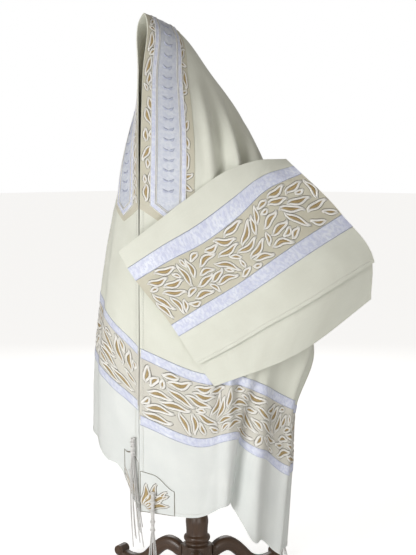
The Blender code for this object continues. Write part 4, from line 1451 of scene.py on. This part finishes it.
for name, along, across, off, length, wound, lean in TASSELS:
    root = on_shawl(np.array([along]), np.array([across]), np.array([off]))[0]
    foot = root - np.array((0.0, 0.0, wound))
    bodies = winding(root, wound) + eyelet_cord(along, across, root)
    for number in range(8):
        loose = (length - wound) * (1.0 - 0.07 * (3 * number % 4))
        bodies += loose_strand(foot, number, loose, lean)
    points, faces, uv = joined(bodies)
    knotted = mesh_piece(f"knotted_tassel_{name}", points, without_repeats(faces), tassel_wool, uv)
    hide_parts(f"tassel_{name}")
    print("tassel", name, "with", len(faces), "faces")

# %% [markdown]
# ## The form and its stand
#
# The form is a smooth torso without limbs and a narrow block that holds up the hood, both covered
# in natural linen. The stand is turned wood: a column with a ring and three scroll legs. Turned and
# lofted shapes are circles whose sizes follow a smooth curve through a few levels.

# %% Linen and wood
def make_linen():
    made, tree, shader, cut = start_material("natural_linen", 0.88, sheen=0.12)
    weave = place_group(tree, WEAVE, {"Cut": cut, "Threads per cm": 7.0, "Slub": 1.4})
    clouds = place_group(tree, CLOUDS, {"Cut": cut, "Patches per cm": 0.3, "Contrast": 2.0})
    light, shade = from_picker(176, 165, 142), from_picker(163, 151, 128)
    tone = mix_colour(tree, clouds.outputs["Mask"], light, shade)
    share = math_node(tree, "MULTIPLY", weave.outputs["Thick threads"], 0.9, clamp=True)
    threaded = mix_colour(tree, share, tone, from_picker(208, 199, 178))
    tree.links.new(threaded, shader.inputs["Base Color"])
    bump_into(tree, shader, weave.outputs["Height"], 0.5, 0.0006)
    return made


def make_wood():
    """Dark waxed wood with its grain along the map's V, worn lighter in patches."""
    made, tree, shader, cut = start_material("waxed_walnut", 0.42)
    stretched = add_node(tree, "ShaderNodeMapping", {"Vector": cut, "Scale": (2.2, 0.16, 1.0)})
    grain = add_node(
        tree,
        "ShaderNodeTexNoise",
        {"Vector": stretched.outputs[0], "Scale": 2.0, "Detail": 6.0, "Distortion": 0.6},
    )
    fine = add_node(tree, "ShaderNodeMapping", {"Vector": cut, "Scale": (14.0, 0.8, 1.0)})
    pores = add_node(
        tree, "ShaderNodeTexNoise", {"Vector": fine.outputs[0], "Scale": 1.5, "Detail": 2.0}
    )
    clouds = place_group(tree, CLOUDS, {"Cut": cut, "Patches per cm": 0.4, "Contrast": 3.0})
    deep, worn = from_picker(52, 37, 28), from_picker(112, 84, 62)
    tone = mix_colour(tree, grain.outputs["Fac"], deep, worn)
    dark = math_node(tree, "MULTIPLY", pores.outputs["Fac"], 0.5)
    tone = mix_colour(tree, dark, tone, from_picker(34, 24, 18))
    tree.links.new(tone, shader.inputs["Base Color"])
    rough = math_node(tree, "ADD", math_node(tree, "MULTIPLY", clouds.outputs["Mask"], 0.2), 0.3)
    tree.links.new(rough, shader.inputs["Roughness"])
    shader.inputs["Coat Weight"].default_value = 0.3
    shader.inputs["Coat Roughness"].default_value = 0.25
    bump_into(tree, shader, pores.outputs["Fac"], 0.15, 0.0004)
    return made


natural_linen = make_linen()
waxed_walnut = make_wood()


# %% Lofting rings
def loft(name, rings, look, girth):
    """A closed body through rings of points, all with as many; girth is its map's width."""
    rings = np.asarray(rings)
    count, sides = rings.shape[:2]
    faces = [tuple(face) for face in tube_faces(count, sides, True)[: (count - 1) * sides].tolist()]
    faces += [tuple(range(sides)), tuple((count - 1) * sides + k for k in range(sides))]
    gone = np.cumsum(np.linalg.norm(np.diff(rings[:, 0], axis=0, prepend=rings[:1, 0]), axis=1))
    around = np.abs(np.linspace(-girth, girth, sides, endpoint=False))
    uv = np.stack(np.broadcast_arrays(around[None, :], gone[:, None]), axis=-1).reshape(-1, 2)
    return mesh_piece(name, rings.reshape(-1, 3), faces, look, uv, 40.0)


def smooth_levels(levels, count):
    """Levels of a form read closer together off a smooth curve through them."""
    levels = np.array(levels, float)
    at = np.linspace(0.0, len(levels) - 1.0, count)
    return knot_weights(np.arange(len(levels)), at) @ levels


# %% The torso and the neck block
# Dress form, one row for each level: height, half width, half depth, centre forward
FORM_LEVELS = (
    (29.0, 8.2, 6.6, 0.0),
    (31.0, 9.2, 7.6, 0.0),
    (40.0, 10.0, 8.2, 0.0),
    (52.0, 10.4, 8.4, 0.0),
    (66.0, 13.2, 9.8, 0.3),
    (76.0, 14.4, 10.2, 0.3),
    (83.0, 14.2, 8.6, 0.2),
    (87.0, 12.75, 6.4, 0.0),
    (88.8, 9.2, 5.2, 0.0),
    (89.6, 4.6, 4.4, 0.0),
)
# Neck and head block of the form, leaning forward: height, centre y, half width, half depth
NECK_LEVELS = (
    (89.64, -0.2, 4.2, 4.2),
    (94.0, -0.6, 3.6, 4.0),
    (98.5, -2.4, 3.1, 4.6),
    (102.5, -4.8, 2.8, 5.8),
    (106.5, -6.3, 2.4, 6.5),
    (110.0, -7.8, 2.0, 5.8),
    (112.6, -9.0, 1.5, 4.5),
    (114.4, -9.8, 1.0, 3.2),
    (115.93, -10.3, 0.45, 1.6),
)
FORM_SHARE = 0.985
NECK_SHARE = 0.97
turns = np.arange(64) * 2.0 * math.pi / 64


def oval(z, y, half_x, half_y):
    return np.stack(
        [half_x * np.cos(turns), y + half_y * np.sin(turns), np.full(len(turns), z)], axis=1
    )


torso_levels = smooth_levels(FORM_LEVELS, 70)
torso_levels[:, 1:3] = np.maximum(torso_levels[:, 1:3] * FORM_SHARE, 0.2)
torso_rings = [oval(z, -forward, hx, hy) for z, hx, hy, forward in torso_levels]
linen_torso = loft("linen_torso", torso_rings, natural_linen, 30.0)
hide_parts("form_torso")
neck_levels = smooth_levels(NECK_LEVELS, 50)
neck_levels[:, 2:4] *= NECK_SHARE
neck_rings = [oval(z, y, hx, hy) for z, y, hx, hy in neck_levels]
linen_neck = loft("linen_neck", neck_rings, natural_linen, 14.0)
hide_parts("form_neck")
print("form:", len(linen_torso.data.polygons) + len(linen_neck.data.polygons), "faces")

# %% The turned column
# height, radius
COLUMN_PROFILE = (
    (2.2, 1.5), (2.5, 2.2), (2.9, 2.6), (3.3, 3.1), (3.6, 3.28), (5.4, 3.28), (7.2, 3.28), (7.5, 3.1),
    (7.7, 2.55), (8.0, 2.45), (8.3, 2.5), (8.6, 2.75), (9.0, 2.85), (9.4, 2.75), (9.7, 2.4), (10.1, 2.3),
    (11.4, 2.35), (12.6, 2.45), (13.6, 2.3), (14.4, 2.05), (15.0, 2.0), (15.3, 2.25), (15.8, 2.4),
    (16.3, 2.25), (16.6, 1.95), (18.0, 1.9), (22.0, 1.95), (25.2, 2.1), (26.4, 2.3), (27.2, 2.7),
    (27.8, 3.4), (28.3, 4.2), (28.7, 4.55), (28.95, 4.55),
)
column_levels = smooth_levels(COLUMN_PROFILE, 160)
column_rings = [oval(z, 0.0, r, r) for z, r in column_levels]
turned_column = loft("turned_column", column_rings, waxed_walnut, 9.0)
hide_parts("stand_column")

# %% The scroll legs
# Scroll leg, one row for each point along it: reach from the column's axis, height, half height,
# half width
LEG_POINTS = (
    (3.33, 5.5, 1.5, 1.2),
    (4.3, 5.5, 1.5, 1.2),
    (5.6, 6.2, 1.6, 1.3),
    (7.2, 6.5, 1.6, 1.4),
    (8.8, 5.9, 1.55, 1.4),
    (10.6, 4.4, 1.5, 1.4),
    (12.6, 2.4, 1.45, 1.4),
    (15.0, 1.15, 1.35, 1.4),
    (17.4, 1.05, 1.25, 1.4),
    (19.4, 1.8, 1.1, 1.3),
    (20.6, 3.1, 0.9, 1.2),
)
LEG_TURNS = (73.0, 193.0, 313.0)
LEG_RING = np.arange(20) * 2.0 * math.pi / 20 + math.pi / 20


def scroll_leg(name, turn):
    """A leg that sweeps down to the floor and curls up at its toe, flat where it stands."""
    heading = np.array((math.cos(turn), math.sin(turn), 0.0))
    sideways = np.array((-math.sin(turn), math.cos(turn), 0.0))
    up = np.array((0.0, 0.0, 1.0))
    path = smooth_levels(LEG_POINTS, 60)
    run, rise = np.gradient(path[:, 0]), np.gradient(path[:, 1])
    size = np.hypot(run, rise)
    rings = []
    for (reach, height, half_high, half_wide), dr, dz in zip(path, run / size, rise / size):
        upright = -dz * heading + dr * up
        c, s = np.cos(LEG_RING), np.sin(LEG_RING)
        wide = np.sign(c) * np.abs(c) ** 0.8 * half_wide
        high = np.sign(s) * np.abs(s) ** 0.8 * half_high
        groove = 1.0 - 0.10 * np.exp(-((c / 0.22) ** 2)) * (s > 0)
        ring = reach * heading + height * up + wide[:, None] * sideways
        ring = ring + (high * groove)[:, None] * upright
        ring[:, 2] = np.maximum(ring[:, 2], 0.0)
        rings.append(ring)
    return loft(name, rings, waxed_walnut, 5.0)


# The drum at a toe's end: how far aside, radius; and its centre: reach, height
DRUM_SECTION = (
    (-1.55, 0.35), (-1.5, 0.75), (-1.35, 0.85), (-1.3, 1.15),
    (1.3, 1.15), (1.35, 0.85), (1.5, 0.75), (1.55, 0.35),
)
DRUM_REACH, DRUM_HEIGHT = 19.9, 2.6


def scroll_end(name, turn):
    """The rolled end of a toe, a short drum on each side of the leg."""
    heading = np.array((math.cos(turn), math.sin(turn), 0.0))
    sideways = np.array((-math.sin(turn), math.cos(turn), 0.0))
    centre = DRUM_REACH * heading + np.array((0.0, 0.0, DRUM_HEIGHT))
    rings = []
    for aside, radius in DRUM_SECTION:
        around = radius * np.cos(LEG_RING)[:, None] * heading
        around = around + radius * np.sin(LEG_RING)[:, None] * np.array((0.0, 0.0, 1.0))
        rings.append(centre + aside * sideways + around)
    return loft(name, rings, waxed_walnut, 4.0)


for number, degrees in enumerate(LEG_TURNS, 1):
    leg = scroll_leg(f"carved_leg_{number}", math.radians(degrees))
    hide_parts(f"stand_leg_{number}")
    toe = scroll_end(f"leg_scroll_{number}", math.radians(degrees))
print("stand: a column and", len(LEG_TURNS), "legs")

# %% [markdown]

# %% [markdown]
# ## Floor, light and camera
#
# The floor is pale and plain. A soft lamp stands to the left of the camera, a weaker one fills low
# from the right, a large one lights the back, and the sky gives the rest. The camera stands at the
# height of the shoulder.

# %% Floor and sky
FLOOR_GLOW = 0.6


def make_floor():
    mesh = bpy.data.meshes.new("pale_floor")
    mesh.from_pydata([(-30, -30, 0), (30, -30, 0), (30, 30, 0), (-30, 30, 0)], [], [(0, 1, 2, 3)])
    made = bpy.data.objects.new("pale_floor", mesh)
    bpy.context.scene.collection.objects.link(made)
    look = bpy.data.materials.new("pale_floor")
    look.use_nodes = True
    shader = look.node_tree.nodes["Principled BSDF"]
    shader.inputs["Base Color"].default_value = from_picker(250, 250, 250)
    shader.inputs["Roughness"].default_value = 0.9
    tree = look.node_tree
    rays = add_node(tree, "ShaderNodeLightPath")
    glow = math_node(tree, "MULTIPLY", rays.outputs["Is Camera Ray"], FLOOR_GLOW)
    shader.inputs["Emission Color"].default_value = (1.0, 1.0, 1.0, 1.0)
    tree.links.new(glow, shader.inputs["Emission Strength"])
    mesh.materials.append(look)
    return made


SKY_STRENGTH = 0.34
make_floor()
sky = bpy.data.worlds.new("studio_sky")
sky.use_nodes = True
backdrop = sky.node_tree.nodes["Background"]
rays = add_node(sky.node_tree, "ShaderNodeLightPath")
tone = mix_colour(
    sky.node_tree, rays.outputs["Is Camera Ray"], (1.0, 0.965, 0.91, 1.0), (1.0, 1.0, 1.0, 1.0)
)
sky.node_tree.links.new(tone, backdrop.inputs["Color"])
seen = math_node(sky.node_tree, "MULTIPLY", rays.outputs["Is Camera Ray"], 1.0 - SKY_STRENGTH)
sky.node_tree.links.new(
    math_node(sky.node_tree, "ADD", seen, SKY_STRENGTH), backdrop.inputs["Strength"]
)
bpy.context.scene.world = sky
bpy.context.scene.view_settings.view_transform = "Standard"


# %% Lamps
def soft_lamp(name, azimuth, distance, height, size, power, aim):
    """A square lamp at an azimuth round the part, aimed at its axis."""
    turn = math.radians(azimuth)
    axis = COLUMN_AXIS * CM
    aside, ahead = distance * math.sin(turn), distance * math.cos(turn)
    place = np.array((axis[0] + aside, axis[1] - ahead, height))
    data = bpy.data.lights.new(name, "AREA")
    data.shape = "SQUARE"
    data.size = size
    data.energy = power
    lamp = bpy.data.objects.new(name, data)
    lamp.location = place
    down = math.atan2(height - aim, distance)
    lamp.rotation_euler = (math.pi / 2.0 - down, 0.0, turn)
    bpy.context.scene.collection.objects.link(lamp)
    return lamp


# name, azimuth in degrees, distance, height, size in metres, power in watts, height aimed at
LAMPS = (
    ("key_lamp", 8.0, 1.9, 0.66, 0.8, 18.5, 0.38),
    ("fill_lamp", 66.0, 1.5, 0.16, 0.7, 4.5, 0.18),
    ("back_lamp", 225.0, 2.6, 1.6, 1.4, 12.0, 0.65),
)
for lamp in LAMPS:
    soft_lamp(*lamp)
print("lamps:", len(LAMPS))

# %% Camera
IMAGE_WIDTH, IMAGE_HEIGHT = 416, 555
FOCAL_PIXELS = 1103.0
PRINCIPAL = (197.0, 287.0)
CAMERA_AZIMUTH = 45.0
CAMERA_DISTANCE = 2.30
CAMERA_HEIGHT = 0.88
CAMERA_DOWN = 6.2
SENSOR = 36.0

view = bpy.data.cameras.new("photo_view")
view.sensor_fit = "VERTICAL"
view.sensor_height = SENSOR
view.lens = FOCAL_PIXELS / IMAGE_HEIGHT * SENSOR
view.shift_x = (0.5 * IMAGE_WIDTH - PRINCIPAL[0]) / IMAGE_HEIGHT
view.shift_y = (PRINCIPAL[1] - 0.5 * IMAGE_HEIGHT) / IMAGE_HEIGHT
camera = bpy.data.objects.new("photo_view", view)
turn = math.radians(CAMERA_AZIMUTH)
camera.location = (
    COLUMN_AXIS[0] * CM + CAMERA_DISTANCE * math.sin(turn),
    COLUMN_AXIS[1] * CM - CAMERA_DISTANCE * math.cos(turn),
    CAMERA_HEIGHT,
)
camera.rotation_euler = (math.radians(90.0 - CAMERA_DOWN), 0.0, turn)
bpy.context.scene.collection.objects.link(camera)
bpy.context.scene.camera = camera
print("camera lens:", round(view.lens, 1), "mm")
